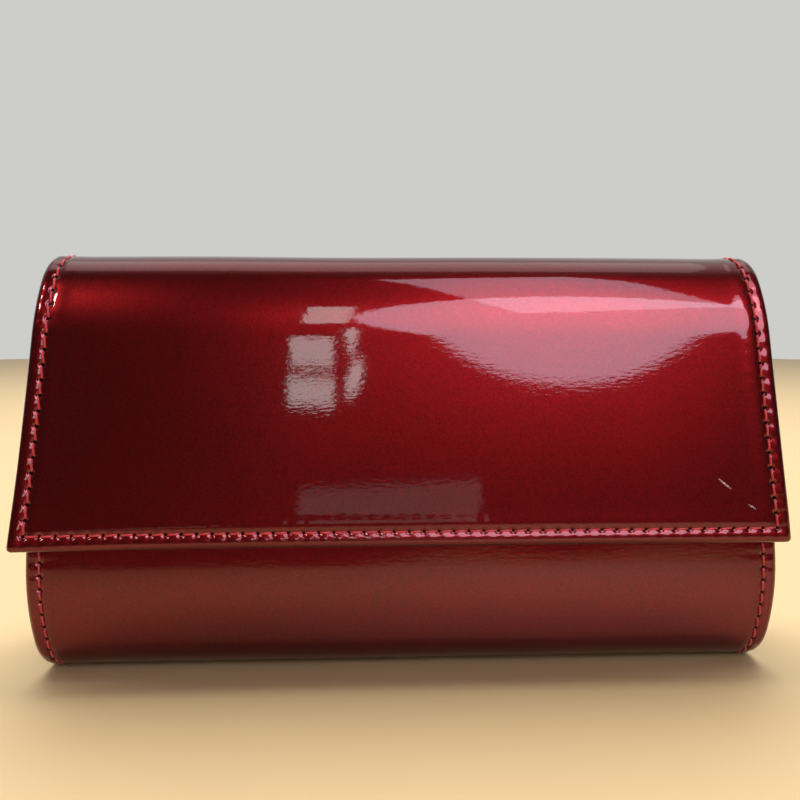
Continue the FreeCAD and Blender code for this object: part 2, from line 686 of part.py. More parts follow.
def zip_pull():
    """Pull tab that hangs from the slider's bail by a barrel."""
    centre = Vector(SLIDER_X - PULL_WIDTH / 2, BACK_Y - BAIL_DEPTH, ZIP_HEIGHT)
    barrel = Part.makeCylinder(PULL_BARREL_RADIUS, PULL_WIDTH, centre, Vector(1, 0, 0))
    half, thick = PULL_WIDTH / 2, PULL_THICKNESS / 2
    low = ZIP_HEIGHT - PULL_LENGTH
    tab = at_back(SLIDER_X - half, SLIDER_X + half, BAIL_DEPTH - thick, BAIL_DEPTH + thick, low,
                  ZIP_HEIGHT)
    tip = Part.makeCylinder(half, PULL_THICKNESS, Vector(SLIDER_X, BACK_Y - BAIL_DEPTH - thick, low),
                            Vector(0, 1, 0))
    eye = Part.makeCylinder(BAIL_RADIUS + PULL_PLAY, PULL_WIDTH, centre, Vector(1, 0, 0))
    return barrel.fuse(tab).fuse(tip).cut(eye).removeSplitter()


# ---- magnetic snap ----
def disc(radius, low, high, hole=0.0):
    """Disc or ring along +Z."""
    made = Part.makeCylinder(radius, high - low, Vector(0, 0, low))
    if hole:
        made = made.cut(Part.makeCylinder(hole, high - low, Vector(0, 0, low)))
    return made


def washer_plate():
    """Washer with rounded ends and two prong slots, along +Z."""
    end = WASHER_LENGTH / 2 - WASHER_WIDTH / 2
    plate = block(-end, end, -WASHER_WIDTH / 2, WASHER_WIDTH / 2, 0, WASHER_THICKNESS)
    for x in (-end, end):
        plate = plate.fuse(Part.makeCylinder(WASHER_WIDTH / 2, WASHER_THICKNESS, Vector(x, 0, 0)))
    return plate.removeSplitter().cut(prong_pair(WASHER_THICKNESS, SLOT_CLEARANCE))


def feet():
    """The prongs' bent ends, pointing outwards, just past a washer."""
    x = PRONG_SPACING / 2
    half = PRONG_WIDTH / 2
    made = []
    for s in (-1, 1):
        near, far = s * (x - PRONG_THICKNESS / 2), s * (x + PRONG_FOOT)
        made.append(block(min(near, far), max(near, far), -half, half, 0, PRONG_THICKNESS))
    return made[0].fuse(made[1])


def socket_plate():
    """Socket's base plate with its prongs bent over the washer inside the front panel."""
    board = SKIN + FOAM + BOARD
    plate = snap_place(disc(SNAP_RADIUS - CASE_WALL - GLUE, 0, SOCKET_PLATE), 0)
    length = board + WASHER_THICKNESS + PRONG_THICKNESS
    legs = snap_place(prong_pair(length), length)
    return plate.fuse(legs).fuse(snap_place(feet(), length)).removeSplitter()


def socket_washer():
    """Washer behind the front board."""
    return snap_place(washer_plate(), SKIN + FOAM + BOARD + WASHER_THICKNESS)


def socket_magnet():
    """Ring magnet inside the socket."""
    low = SOCKET_PLATE
    high = SOCKET_THICKNESS - CASE_WALL - MAGNET_CLEARANCE
    radius = SNAP_RADIUS - CASE_WALL - MAGNET_CLEARANCE
    return snap_place(disc(radius, low, high, SOCKET_HOLE_RADIUS), 0)


def socket_case():
    """Pressed cover over the magnet, with the stud's hole."""
    cup = disc(SNAP_RADIUS, GLUE, SOCKET_THICKNESS)
    room = disc(SNAP_RADIUS - CASE_WALL, 0, SOCKET_THICKNESS - CASE_WALL)
    hole = disc(SOCKET_HOLE_RADIUS, 0, SOCKET_THICKNESS)
    return snap_place(cup.cut(room).cut(hole), 0)


def snap_stud():
    """Stud's stepped plate with its tapered post, and prongs bent over the washer in the flap."""
    face = SOCKET_THICKNESS + SNAP_PLAY
    plate = disc(SNAP_RADIUS - STUD_RIM_STEP, face, face + STUD_PLATE)
    rim = disc(SNAP_RADIUS, face + STUD_PLATE - STUD_RIM, face + STUD_PLATE)
    post = Part.makeCone(STUD_TIP_RADIUS, STUD_ROOT_RADIUS, STUD_LENGTH,
                         Vector(0, 0, face - STUD_LENGTH))
    base = plate.fuse(rim).fuse(post).removeSplitter()
    through = STUD_GRIP + WASHER_THICKNESS + PRONG_THICKNESS
    legs = prong_pair(through)
    legs.translate(Vector(0, 0, SNAP_GAP))
    ends = feet()
    ends.translate(Vector(0, 0, SNAP_GAP + through - PRONG_THICKNESS))
    return snap_place(base.fuse(legs).fuse(ends).removeSplitter(), 0)


def stud_washer():
    """Washer on the outside of the flap's board."""
    return snap_place(washer_plate(), -(SNAP_GAP + STUD_GRIP))


# ---- build ----
def nodes():
    """Every named node of the bag, in order of assembly."""
    made = {
        "body_skin": body_skin(), "body_foam": body_foam(), "body_topstitching": body_threads(),
        "front_board": front_board(), "base_board": base_board(), "back_board": back_board(),
        "flap_skin": flap_skin(), "flap_foam": flap_foam(), "flap_board": flap_board(),
        "flap_lining": flap_lining(), "flap_topstitching": flap_threads(),
        "shell_lining": shell_lining(), "back_facing": back_facing(),
        "slip_pocket": slip_pocket(), "zip_pouch": zip_pouch(),
        "zip_tapes": Part.makeCompound(zip_tapes()), "zip_rows": Part.makeCompound(zip_rows()),
        "zip_stops": Part.makeCompound(zip_stops()), "zip_slider": zip_slider(),
        "zip_pull": zip_pull(), "snap_socket_case": socket_case(),
        "snap_socket_magnet": socket_magnet(), "snap_socket_plate": socket_plate(),
        "snap_socket_washer": socket_washer(), "snap_stud": snap_stud(),
        "snap_stud_washer": stud_washer(),
    }
    for name, side in (("left", -1), ("right", 1)):
        made["gusset_" + name] = gusset(side)
        made["gusset_lining_" + name] = gusset_lining(side)
    return made


def main():
    """Writes each node to parts/ and prints its solids and volume."""
    os.makedirs("parts", exist_ok=True)
    for name, shape in nodes().items():
        if not shape.isValid() or not shape.Solids:
            raise RuntimeError(name + " is not a valid solid")
        shape.exportStep("parts/" + name + ".step")
        print(name, len(shape.Solids), "solids", round(shape.Volume, 1), "mm3")
    print("flap hinge at y, z:", round(HINGE_Y, 3), round(HINGE_Z, 3))
    print("base from y", round(BASE_START_Y, 2), "run", round(BASE_RUN, 2), "crown radius",
          round(CROWN_RADIUS, 2), "flap run", round(FLAP_RUN, 2), "belly", round(BELLY_HEIGHT, 2))
    print("zip pull axis y, z:", round(BACK_Y - BAIL_DEPTH, 3), ZIP_HEIGHT, "slider x", SLIDER_X)


main()
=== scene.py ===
"""Looks of a flap clutch bag in pearl red patent sheet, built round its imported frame.

Every length is in metres and every place comes from the frame. The bag's wrap is worked out as
one line from the front's mouth edge, under the base, up the back and over into the flap. A place
on the wrap is then an X, a length along that line, and a depth below the outer face.
"""
from __future__ import annotations

import logging
import math
from dataclasses import dataclass, field
from enum import Enum
from typing import Callable, Sequence

import bmesh
import bpy
import numpy as np
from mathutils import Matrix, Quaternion, Vector


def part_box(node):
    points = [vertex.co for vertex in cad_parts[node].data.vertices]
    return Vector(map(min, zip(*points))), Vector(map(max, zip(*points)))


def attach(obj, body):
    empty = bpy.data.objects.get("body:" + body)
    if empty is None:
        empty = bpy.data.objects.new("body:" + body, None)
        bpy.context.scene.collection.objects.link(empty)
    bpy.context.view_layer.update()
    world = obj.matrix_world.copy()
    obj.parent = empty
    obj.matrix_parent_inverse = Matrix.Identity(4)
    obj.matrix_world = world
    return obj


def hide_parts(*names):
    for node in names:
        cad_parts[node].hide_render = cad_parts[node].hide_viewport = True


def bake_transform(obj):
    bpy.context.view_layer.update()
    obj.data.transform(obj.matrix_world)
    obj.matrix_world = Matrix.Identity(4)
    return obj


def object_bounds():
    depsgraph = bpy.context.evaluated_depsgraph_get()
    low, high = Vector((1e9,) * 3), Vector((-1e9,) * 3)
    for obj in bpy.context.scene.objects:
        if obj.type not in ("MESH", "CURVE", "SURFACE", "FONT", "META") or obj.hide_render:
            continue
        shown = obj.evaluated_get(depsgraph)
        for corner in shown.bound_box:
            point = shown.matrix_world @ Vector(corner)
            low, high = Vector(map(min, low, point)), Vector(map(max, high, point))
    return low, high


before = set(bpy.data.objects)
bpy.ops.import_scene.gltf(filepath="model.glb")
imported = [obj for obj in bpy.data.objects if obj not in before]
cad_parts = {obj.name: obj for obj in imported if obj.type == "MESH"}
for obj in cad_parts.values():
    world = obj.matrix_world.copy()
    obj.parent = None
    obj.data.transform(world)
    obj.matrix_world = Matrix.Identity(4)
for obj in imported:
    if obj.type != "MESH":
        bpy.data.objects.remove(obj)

LOG = logging.getLogger("clutch")
MM = 0.001
CAD_LOW, CAD_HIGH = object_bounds()
Array = np.ndarray


class Body(Enum):
    """Rigid bodies of the frame that pieces ride on."""

    BAG = "bag_body"
    FLAP = "flap"
    SLIDER = "zip_slider"
    PULL = "zip_pull"


class LightOn(Enum):
    """Surfaces that a light reaches."""

    ALL = "all"
    GLOSS = "gloss"
    MATT = "matt"


class Side(Enum):
    """Ends of the bag, as seen from the front."""

    LEFT = -1
    RIGHT = 1


# ---------------------------------------------------------------- small helpers
def linear(hex_colour: str) -> tuple[float, float, float, float]:
    """Turns an sRGB hex colour into linear light.

    Args:
        hex_colour: Six hex digits after a hash.

    Returns:
        Linear red, green, blue and an alpha of 1.
    """
    parts = [int(hex_colour[i:i + 2], 16) / 255 for i in (1, 3, 5)]
    light = [c / 12.92 if c <= 0.04045 else ((c + 0.055) / 1.055) ** 2.4 for c in parts]
    return light[0], light[1], light[2], 1.0


def add_node(tree: bpy.types.NodeTree, kind: str, inputs: dict | None = None,
             **settings: object) -> bpy.types.Node:
    """Adds a node with its settings and links.

    Args:
        tree: Node tree to add to.
        kind: Blender's node type.
        inputs: Input name or index to a value, or to a socket to link from.
        settings: Properties of the node.

    Returns:
        The new node.
    """
    node = tree.nodes.new(kind)
    for key, value in settings.items():
        setattr(node, key, value)
    for key, value in (inputs or {}).items():
        if isinstance(value, bpy.types.NodeSocket):
            tree.links.new(value, node.inputs[key])
        else:
            node.inputs[key].default_value = value
    return node


def mixed_colour(tree: bpy.types.NodeTree, share: bpy.types.NodeSocket,
                 first: str | bpy.types.NodeSocket,
                 second: str | bpy.types.NodeSocket) -> bpy.types.NodeSocket:
    """Mixes two colours.

    Args:
        tree: Node tree to add to.
        share: How much of the second colour.
        first: sRGB hex colour, or a socket.
        second: sRGB hex colour, or a socket.

    Returns:
        The mix's output.
    """
    mix = add_node(tree, "ShaderNodeMix", data_type="RGBA")
    tree.links.new(share, mix.inputs[0])
    sockets = [i for i in mix.inputs if i.type == "RGBA"]
    for socket, value in zip(sockets, (first, second)):
        if isinstance(value, str):
            socket.default_value = linear(value)
        else:
            tree.links.new(value, socket)
    return next(o for o in mix.outputs if o.type == "RGBA")


def smooth(t: Array) -> Array:
    """Smooth ramp from 0 to 1."""
    t = np.clip(t, 0.0, 1.0)
    return t * t * (3 - 2 * t)


def hump(x: Array, centre: float, width: float) -> Array:
    """Bell curve of height 1."""
    return np.exp(-((x - centre) / width) ** 2)


# ---------------------------------------------------------------- the wrap's line
@dataclass(frozen=True)
class Step:
    """Straight run (radius 0) or left-hand bend of a path."""

    length: float
    radius: float = 0.0


def bend(radius: float, degrees: float) -> Step:
    """A bend given by its radius and turn."""
    return Step(radius * math.radians(degrees), radius)


class Path:
    """Tangent runs and bends in the Y-Z plane, with depth measured to their left."""

    def __init__(self, y: float, z: float, heading: float, steps: Sequence[Step]) -> None:
        """Works out where each step starts.

        Args:
            y: Start of the path.
            z: Start of the path.
            heading: First direction in radians, from +Y towards +Z.
            steps: Runs and bends in order.
        """
        self.steps = list(steps)
        starts = [(0.0, y, z, heading)]
        for step in self.steps:
            starts.append(self._end_of(step, starts[-1]))
        self.starts = np.array(starts)
        self.length = float(self.starts[-1, 0])

    @staticmethod
    def _end_of(step: Step, start: tuple[float, float, float, float]) -> tuple:
        """Length, place and heading at the end of a step.

        Args:
            step: The step.
            start: Its own start, Y, Z and heading.

        Returns:
            Length, Y, Z and heading at its end.
        """
        s, y, z, heading = start
        if not step.radius:
            return (s + step.length, y + step.length * math.cos(heading),
                    z + step.length * math.sin(heading), heading)
        turned = heading + step.length / step.radius
        return (s + step.length, y + step.radius * (math.sin(turned) - math.sin(heading)),
                z - step.radius * (math.cos(turned) - math.cos(heading)), turned)

    def at(self, s: Array, depth: Array | float = 0.0) -> tuple[Array, Array, Array]:
        """Place and heading at lengths along the path.

        Args:
            s: Lengths from the start.
            depth: Depth to the left of the path.

        Returns:
            Y, Z and heading.
        """
        s = np.asarray(s, float)
        index = np.clip(np.searchsorted(self.starts[1:, 0], s, side="right"), 0,
                        len(self.steps) - 1)
        start = self.starts[index]
        radius = np.array([step.radius for step in self.steps])[index]
        along = s - start[..., 0]
        curved = radius > 0
        safe = np.where(curved, radius, 1.0)
        heading = start[..., 3] + np.where(curved, along / safe, 0.0)
        y = np.where(curved, start[..., 1] + safe * (np.sin(heading) - np.sin(start[..., 3])),
                     start[..., 1] + along * np.cos(heading))
        z = np.where(curved, start[..., 2] - safe * (np.cos(heading) - np.cos(start[..., 3])),
                     start[..., 2] + along * np.sin(heading))
        return y - depth * np.sin(heading), z + depth * np.cos(heading), heading


@dataclass
class Wrap:
    """Sizes and line of the one long stiffened sheet that makes the bag."""

    width: float = CAD_HIGH.x - CAD_LOW.x
    depth: float = CAD_HIGH.y - CAD_LOW.y
    height: float = CAD_HIGH.z - CAD_LOW.z
    widest_height: float = 40.0 * MM
    side_radius: float = 240.0 * MM
    side_taper: float = 4.5
    lean: float = 8.5
    flap_edge_height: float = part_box("flap_skin")[0].z
    shoulder_radius: float = 55.0 * MM
    shoulder_turn: float = 20.0
    crest_radius: float = 16.7 * MM
    belly_radius: float = 82.0 * MM
    belly_turn: float = 18.0
    toe_radius: float = 14.0 * MM
    heel_radius: float = 12.0 * MM
    hinge_turn: float = 35.0
    front_setback: float = 9.6 * MM
    skin: float = 0.8 * MM
    thickness: float = 3.2 * MM
    seam_drop: float = 5.0 * MM
    mouth_height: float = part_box("front_board")[1].z + 0.85 * MM

    def __post_init__(self) -> None:
        """Works out the path and the lengths of its stations."""
        lean = math.radians(self.lean)
        shoulder = math.radians(self.lean + self.shoulder_turn)
        flap_run = (self.height - self.flap_edge_height
                    - self.shoulder_radius * (math.sin(shoulder) - math.sin(lean))
                    - self.crest_radius * (1 - math.sin(shoulder))) / math.cos(lean)
        self.crown_radius = (self.depth - flap_run * math.sin(lean)
                             - self.shoulder_radius * (math.cos(lean) - math.cos(shoulder))
                             - self.crest_radius * math.cos(shoulder))
        self.crown_height = self.height - self.crown_radius
        low = 3 * math.pi / 2 - lean
        belly = math.radians(self.belly_turn)
        belly_height = (self.belly_radius * (math.cos(low + belly) - math.cos(low))
                        + self.toe_radius * (1 - math.cos(low + belly)))
        mouth_y = (-self.depth / 2 + self.front_setback / math.cos(lean)
                   + (self.mouth_height - self.flap_edge_height) * math.tan(lean))
        front_run = (self.mouth_height - belly_height) / math.cos(lean)
        base_y = (mouth_y - front_run * math.sin(lean)
                  + self.belly_radius * (math.sin(low + belly) - math.sin(low))
                  - self.toe_radius * math.sin(low + belly))
        base_run = self.depth / 2 - self.heel_radius - base_y
        self.path = Path(mouth_y, self.mouth_height, low, [
            Step(front_run), bend(self.belly_radius, self.belly_turn),
            bend(self.toe_radius, 90 + self.lean - self.belly_turn), Step(base_run),
            bend(self.heel_radius, 90), Step(self.crown_height - self.heel_radius),
            bend(self.crown_radius, 90),
            bend(self.crest_radius, 90 - self.lean - self.shoulder_turn),
            bend(self.shoulder_radius, self.shoulder_turn), Step(flap_run)])
        stations = self.path.starts[:, 0]
        self.front_end, self.toe_start, self.base_start = stations[1], stations[2], stations[3]
        self.base_end, self.back_start, self.crown_start = stations[4], stations[5], stations[6]
        self.shoulder_start, self.flat_start, self.end = stations[8], stations[9], self.path.length
        self.seam = self.crown_start - self.seam_drop
        self.hinge = self.crown_start + self.crown_radius * math.radians(self.hinge_turn)

    def half_width(self, z: Array) -> Array:
        """Half of the bag's width at a height.

        Args:
            z: Heights.

        Returns:
            Half widths.
        """
        centre = self.width / 2 - self.side_radius
        taper = math.radians(self.side_taper)
        rise = np.asarray(z, float) - self.widest_height
        bow = centre + np.sqrt(np.maximum(self.side_radius ** 2 - rise ** 2, 0.0))
        tangent = centre + self.side_radius * math.cos(taper)
        straight = tangent - (rise - self.side_radius * math.sin(taper)) * math.tan(taper)
        return np.where(rise < self.side_radius * math.sin(taper), bow, straight)

    def front_y(self, z: Array) -> Array:
        """Outer face of the front's straight run at a height."""
        start = self.path.starts[0]
        return start[1] + (np.asarray(z) - start[2]) * math.tan(math.radians(self.lean))

    def edge(self, s: Array) -> Array:
        """Half width at a length along the wrap."""
        return self.half_width(self.path.at(s)[1])

    def place(self, x: Array, s: Array, depth: Array | float) -> Array:
        """Points in the frame from places on the wrap.

        Args:
            x: Across the bag.
            s: Length along the wrap.
            depth: Below the outer face.

        Returns:
            Points, with their coordinates on the last axis.
        """
        y, z, _ = self.path.at(s, depth)
        x, y, z = np.broadcast_arrays(x, y, z)
        return np.stack([x, y, z], axis=-1)

    def outward(self, s: Array) -> Array:
        """Outward direction at lengths along the wrap."""
        heading = self.path.at(s)[2]
        return np.stack([np.zeros_like(heading), np.sin(heading), -np.cos(heading)], axis=-1)

    def along(self, s: Array) -> Array:
        """Direction of travel at lengths along the wrap."""
        heading = self.path.at(s)[2]
        return np.stack([np.zeros_like(heading), np.cos(heading), np.sin(heading)], axis=-1)


WRAP = Wrap()


def hinge_blend(piece: bpy.types.Object) -> None:
    """Bakes a piece's place into its mesh, leaving it on no body.

    Args:
        piece: A piece that belongs to the bag and to the flap.
    """
    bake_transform(piece)


def settle(piece: bpy.types.Object, node: str | None,
           body: Body | None) -> bpy.types.Object:
    """Args:
        piece: The piece.
        node: Node of the frame that it stands for, where there is one.
        body: Body that it rides on, or nothing where it bends across the flap's hinge.

    Returns:
        The piece.
    """
    if body is None:
        hinge_blend(piece)
    else:
        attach(piece, body.value)
    if node:
        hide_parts(node)
    return piece


# ---------------------------------------------------------------- relief of the glued sheet
@dataclass(frozen=True)
class StitchRow:
    """Spacing of a row of topstitching and its distance from the edge."""

    pitch: float
    inset: float = 4.95 * MM

    def fitted(self, length: float) -> tuple[int, float]:
        """Whole stitches in a length, and their exact pitch."""
        count = max(1, round(length / self.pitch))
        return count, length / count


@dataclass
class Relief:
    """Height of the sheet above its true face: stitch groove, rolled rim and gentle waves."""

    row: StitchRow
    start: float
    finish: float
    closed_by: float
    stitched_cross: bool
    groove: float = 0.24 * MM
    rim: float = 0.26 * MM
    pillow: float = 0.10 * MM
    wave: float = 0.13 * MM
    wave_count: int = 7
    seed: int = 5

    def __post_init__(self) -> None:
        """Draws the waves once."""
        draw = np.random.default_rng(self.seed)
        length = draw.uniform(55, 130, self.wave_count) * MM
        angle = draw.uniform(0, math.pi, self.wave_count)
        self.wave_x = 2 * math.pi * np.cos(angle) / length
        self.wave_s = 2 * math.pi * np.sin(angle) / length
        self.phase = draw.uniform(0, 2 * math.pi, self.wave_count)
        self.share = draw.uniform(0.4, 1.0, self.wave_count) / self.wave_count
        self.far_end = self.finish if self.closed_by == self.start else self.start

    def side_line(self) -> tuple[float, float]:
        """First and last length of the stitch line along the sides.

        Returns:
            The row's first and last length along the wrap.
        """
        inset = self.row.inset
        low, high = min(self.start, self.finish), max(self.start, self.finish)
        if self.closed_by == low:
            return low + inset, high
        return low, high - inset

    def cross_reach(self) -> float:
        """Half length of the stitch line along the cross edge.

        Returns:
            Half the length of the row that runs across.
        """
        low, high = self.side_line()
        s = low if self.closed_by < high else high
        return float(WRAP.edge(np.array(s))) - self.row.inset

    def puncture(self, x: Array, s: Array, by_side: Array) -> Array:
        """1 at a needle hole and 0 midway between two.

        Args:
            x: Across the bag.
            s: Length along the wrap.
            by_side: Whether the nearest row is one that runs up a side.

        Returns:
            1 at a hole's middle, and 0 halfway between two holes.
        """
        low, high = self.side_line()
        _, side_pitch = self.row.fitted(high - low)
        reach = self.cross_reach()
        _, cross_pitch = self.row.fitted(2 * reach)
        turn = np.where(by_side, (s - low) / side_pitch, (x + reach) / cross_pitch)
        return (0.5 + 0.5 * np.cos(2 * math.pi * turn)) ** 3

    def seam_map(self, x: Array, s: Array) -> Array:
        """Stitch number, counted on round the line, and distance inside the line.

        Args:
            x: Across the bag.
            s: Length along the wrap.

        Returns:
            Both values on the last axis.
        """
        low, high = self.side_line()
        side_count, side_pitch = self.row.fitted(high - low)
        reach = self.cross_reach()
        cross_count, cross_pitch = self.row.fitted(2 * reach)
        side = WRAP.edge(s) - np.abs(x)
        cross = np.abs(self.closed_by - s)
        by_side = (side < cross) | (not self.stitched_cross)
        up = np.abs(self.far_end - s) / side_pitch
        left = up
        right = 2 * side_count + cross_count - up
        across = side_count + (x + reach) / cross_pitch
        number = np.where(by_side, np.where(x < 0, left, right), across)
        inset = np.where(by_side, side, cross) - self.row.inset
        return np.stack(np.broadcast_arrays(number, inset), axis=-1)

    def waves(self, x: Array, s: Array) -> Array:
        """Slow unevenness of the glued sheet, which dies out at the seam.

        Args:
            x: Across the bag.
            s: Length along the wrap.

        Returns:
            Heights, outwards.
        """
        total = sum(share * np.sin(kx * x + ks * s + phase) for share, kx, ks, phase
                    in zip(self.share, self.wave_x, self.wave_s, self.phase))
        return self.wave * 2 * total * smooth(np.abs(s - WRAP.seam) / (14 * MM))

    def height(self, x: Array, s: Array) -> Array:
        """Height over the true face.

        Args:
            x: Across the bag.
            s: Length along the wrap.

        Returns:
            Heights, outwards, and none under the base, which the floor keeps flat.
        """
        side = WRAP.edge(s) - np.abs(x)
        cross = np.abs(self.closed_by - s)
        by_side = (side < cross) | (not self.stitched_cross)
        inset = np.where(by_side, side, cross)
        hole = self.puncture(x, s, by_side)
        line = self.row.inset
        high = -self.groove * hump(inset, line, 0.85 * MM) * (0.5 + 0.5 * hole)
        high += self.rim * hump(inset, 2.4 * MM, 1.4 * MM) * (1 - 0.7 * hole)
        high += self.pillow * hump(inset, line + 2.9 * MM, 2.2 * MM) * (1 - 0.35 * hole)
        return np.minimum(high + self.waves(x, s), WRAP.path.at(s)[1])


# How far the flap's lower corners stand off, and how far along the edge that reaches.
LEFT_FLARE, LEFT_REACH = 4.3 * MM, 34 * MM
RIGHT_FLARE, RIGHT_REACH = 0.6 * MM, 30 * MM
FLARE_RISE = 24 * MM


def flare(x: Array, s: Array) -> Array:
    """How far the flap's lower corners stand away from the bag.

    Args:
        x: Across the bag.
        s: Length along the wrap.

    Returns:
        Distances, outwards.
    """
    below = np.exp(-np.maximum(WRAP.end - s, 0) / FLARE_RISE)
    left = LEFT_FLARE * np.exp(-np.maximum(x + WRAP.edge(s), 0) / LEFT_REACH)
    right = RIGHT_FLARE * np.exp(-np.maximum(WRAP.edge(s) - x, 0) / RIGHT_REACH)
    return (left + right) * below * (s > WRAP.hinge)


# ---------------------------------------------------------------- meshes
class MeshBuilder:
    """Collects grids of points and joins them into quads."""

    def __init__(self) -> None:
        """Starts empty."""
        self.points: list[Array] = []
        self.maps: list[Array] = []
        self.faces: list[Array] = []
        self.count = 0

    def add(self, points: Array, flat: Array | None = None, seam: Array | None = None) -> Array:
        """Adds a grid of points.

        Args:
            points: Grid with coordinates on the last axis.
            flat: Place of each point on the flat sheet, for patterns.
            seam: Stitch number and distance from the stitch line of each point.

        Returns:
            Index of each point, in the grid's shape.
        """
        shape = points.shape[:-1]
        ids = np.arange(self.count, self.count + int(np.prod(shape))).reshape(shape)
        self.count += ids.size
        self.points.append(points.reshape(-1, 3))
        if flat is None:
            flat = points[..., :2]
        if seam is None:
            seam = np.full((*shape, 2), 1.0)
        self.maps.append(np.concatenate([np.asarray(flat, float).reshape(-1, 2),
                                         np.asarray(seam, float).reshape(-1, 2)], axis=1))
        return ids

    def quads(self, ids: Array) -> None:
        """Joins neighbours of an index grid."""
        a, b, c, d = ids[:-1, :-1], ids[:-1, 1:], ids[1:, 1:], ids[1:, :-1]
        self.faces.append(np.stack([a, b, c, d], axis=-1).reshape(-1, 4))

    def build(self, name: str, material: bpy.types.Material, out: Vector | None = None,
              merge: float = 1e-6) -> bpy.types.Object:
        """Makes the object, smooth shaded, with faces turned one way.

        Args:
            name: Name of the piece.
            material: Its finish.
            out: Direction that the first face should look in, where the sheet is open.
            merge: Distance below which points are one.

        Returns:
            The new object, linked to the scene.
        """
        points = np.concatenate(self.points)
        flat = np.concatenate(self.maps)
        faces = np.concatenate(self.faces)
        mesh = bpy.data.meshes.new(name)
        mesh.from_pydata(points.tolist(), [], faces.tolist())
        loops = np.zeros(len(mesh.loops), np.int32)
        mesh.loops.foreach_get("vertex_index", loops)
        for label, first in (("sheet", 0), ("seam", 2)):
            layer = mesh.uv_layers.new(name=label)
            layer.data.foreach_set("uv", flat[loops, first:first + 2].astype(np.float32).ravel())
        work = bmesh.new()
        work.from_mesh(mesh)
        bmesh.ops.remove_doubles(work, verts=work.verts, dist=merge)
        bmesh.ops.recalc_face_normals(work, faces=work.faces)
        work.faces.ensure_lookup_table()
        if out is not None and work.faces[0].normal.dot(out) < 0:
            bmesh.ops.reverse_faces(work, faces=work.faces)
        for face in work.faces:
            face.smooth = True
        work.to_mesh(mesh)
        work.free()
        mesh.materials.append(material)
        piece = bpy.data.objects.new(name, mesh)
        bpy.context.scene.collection.objects.link(piece)
        return piece


def finished(piece: bpy.types.Object) -> bpy.types.Object:
    """Applies a piece's modifiers to its mesh.

    Args:
        piece: Object with modifiers.

    Returns:
        The same object with a plain mesh.
    """
    graph = bpy.context.evaluated_depsgraph_get()
    graph.update()
    mesh = bpy.data.meshes.new_from_object(piece.evaluated_get(graph))
    piece.modifiers.clear()
    piece.data = mesh
    return piece


def thickened(piece: bpy.types.Object, thickness: float) -> bpy.types.Object:
    """Gives an open sheet its thickness on the side away from its faces.

    Args:
        piece: An open sheet.
        thickness: How thick it gets, inwards.

    Returns:
        The same piece, closed.
    """
    wall = piece.modifiers.new("wall", "SOLIDIFY")
    wall.thickness = thickness
    wall.offset = -1.0
    wall.use_even_offset = True
    finished(piece)
    piece.data.set_sharp_from_angle(angle=math.radians(50))
    return piece


def sampled(low: float, high: float, step: float) -> Array:
    """Evenly spaced values that include both ends."""
    return np.linspace(low, high, max(2, int(round(abs(high - low) / step)) + 1))


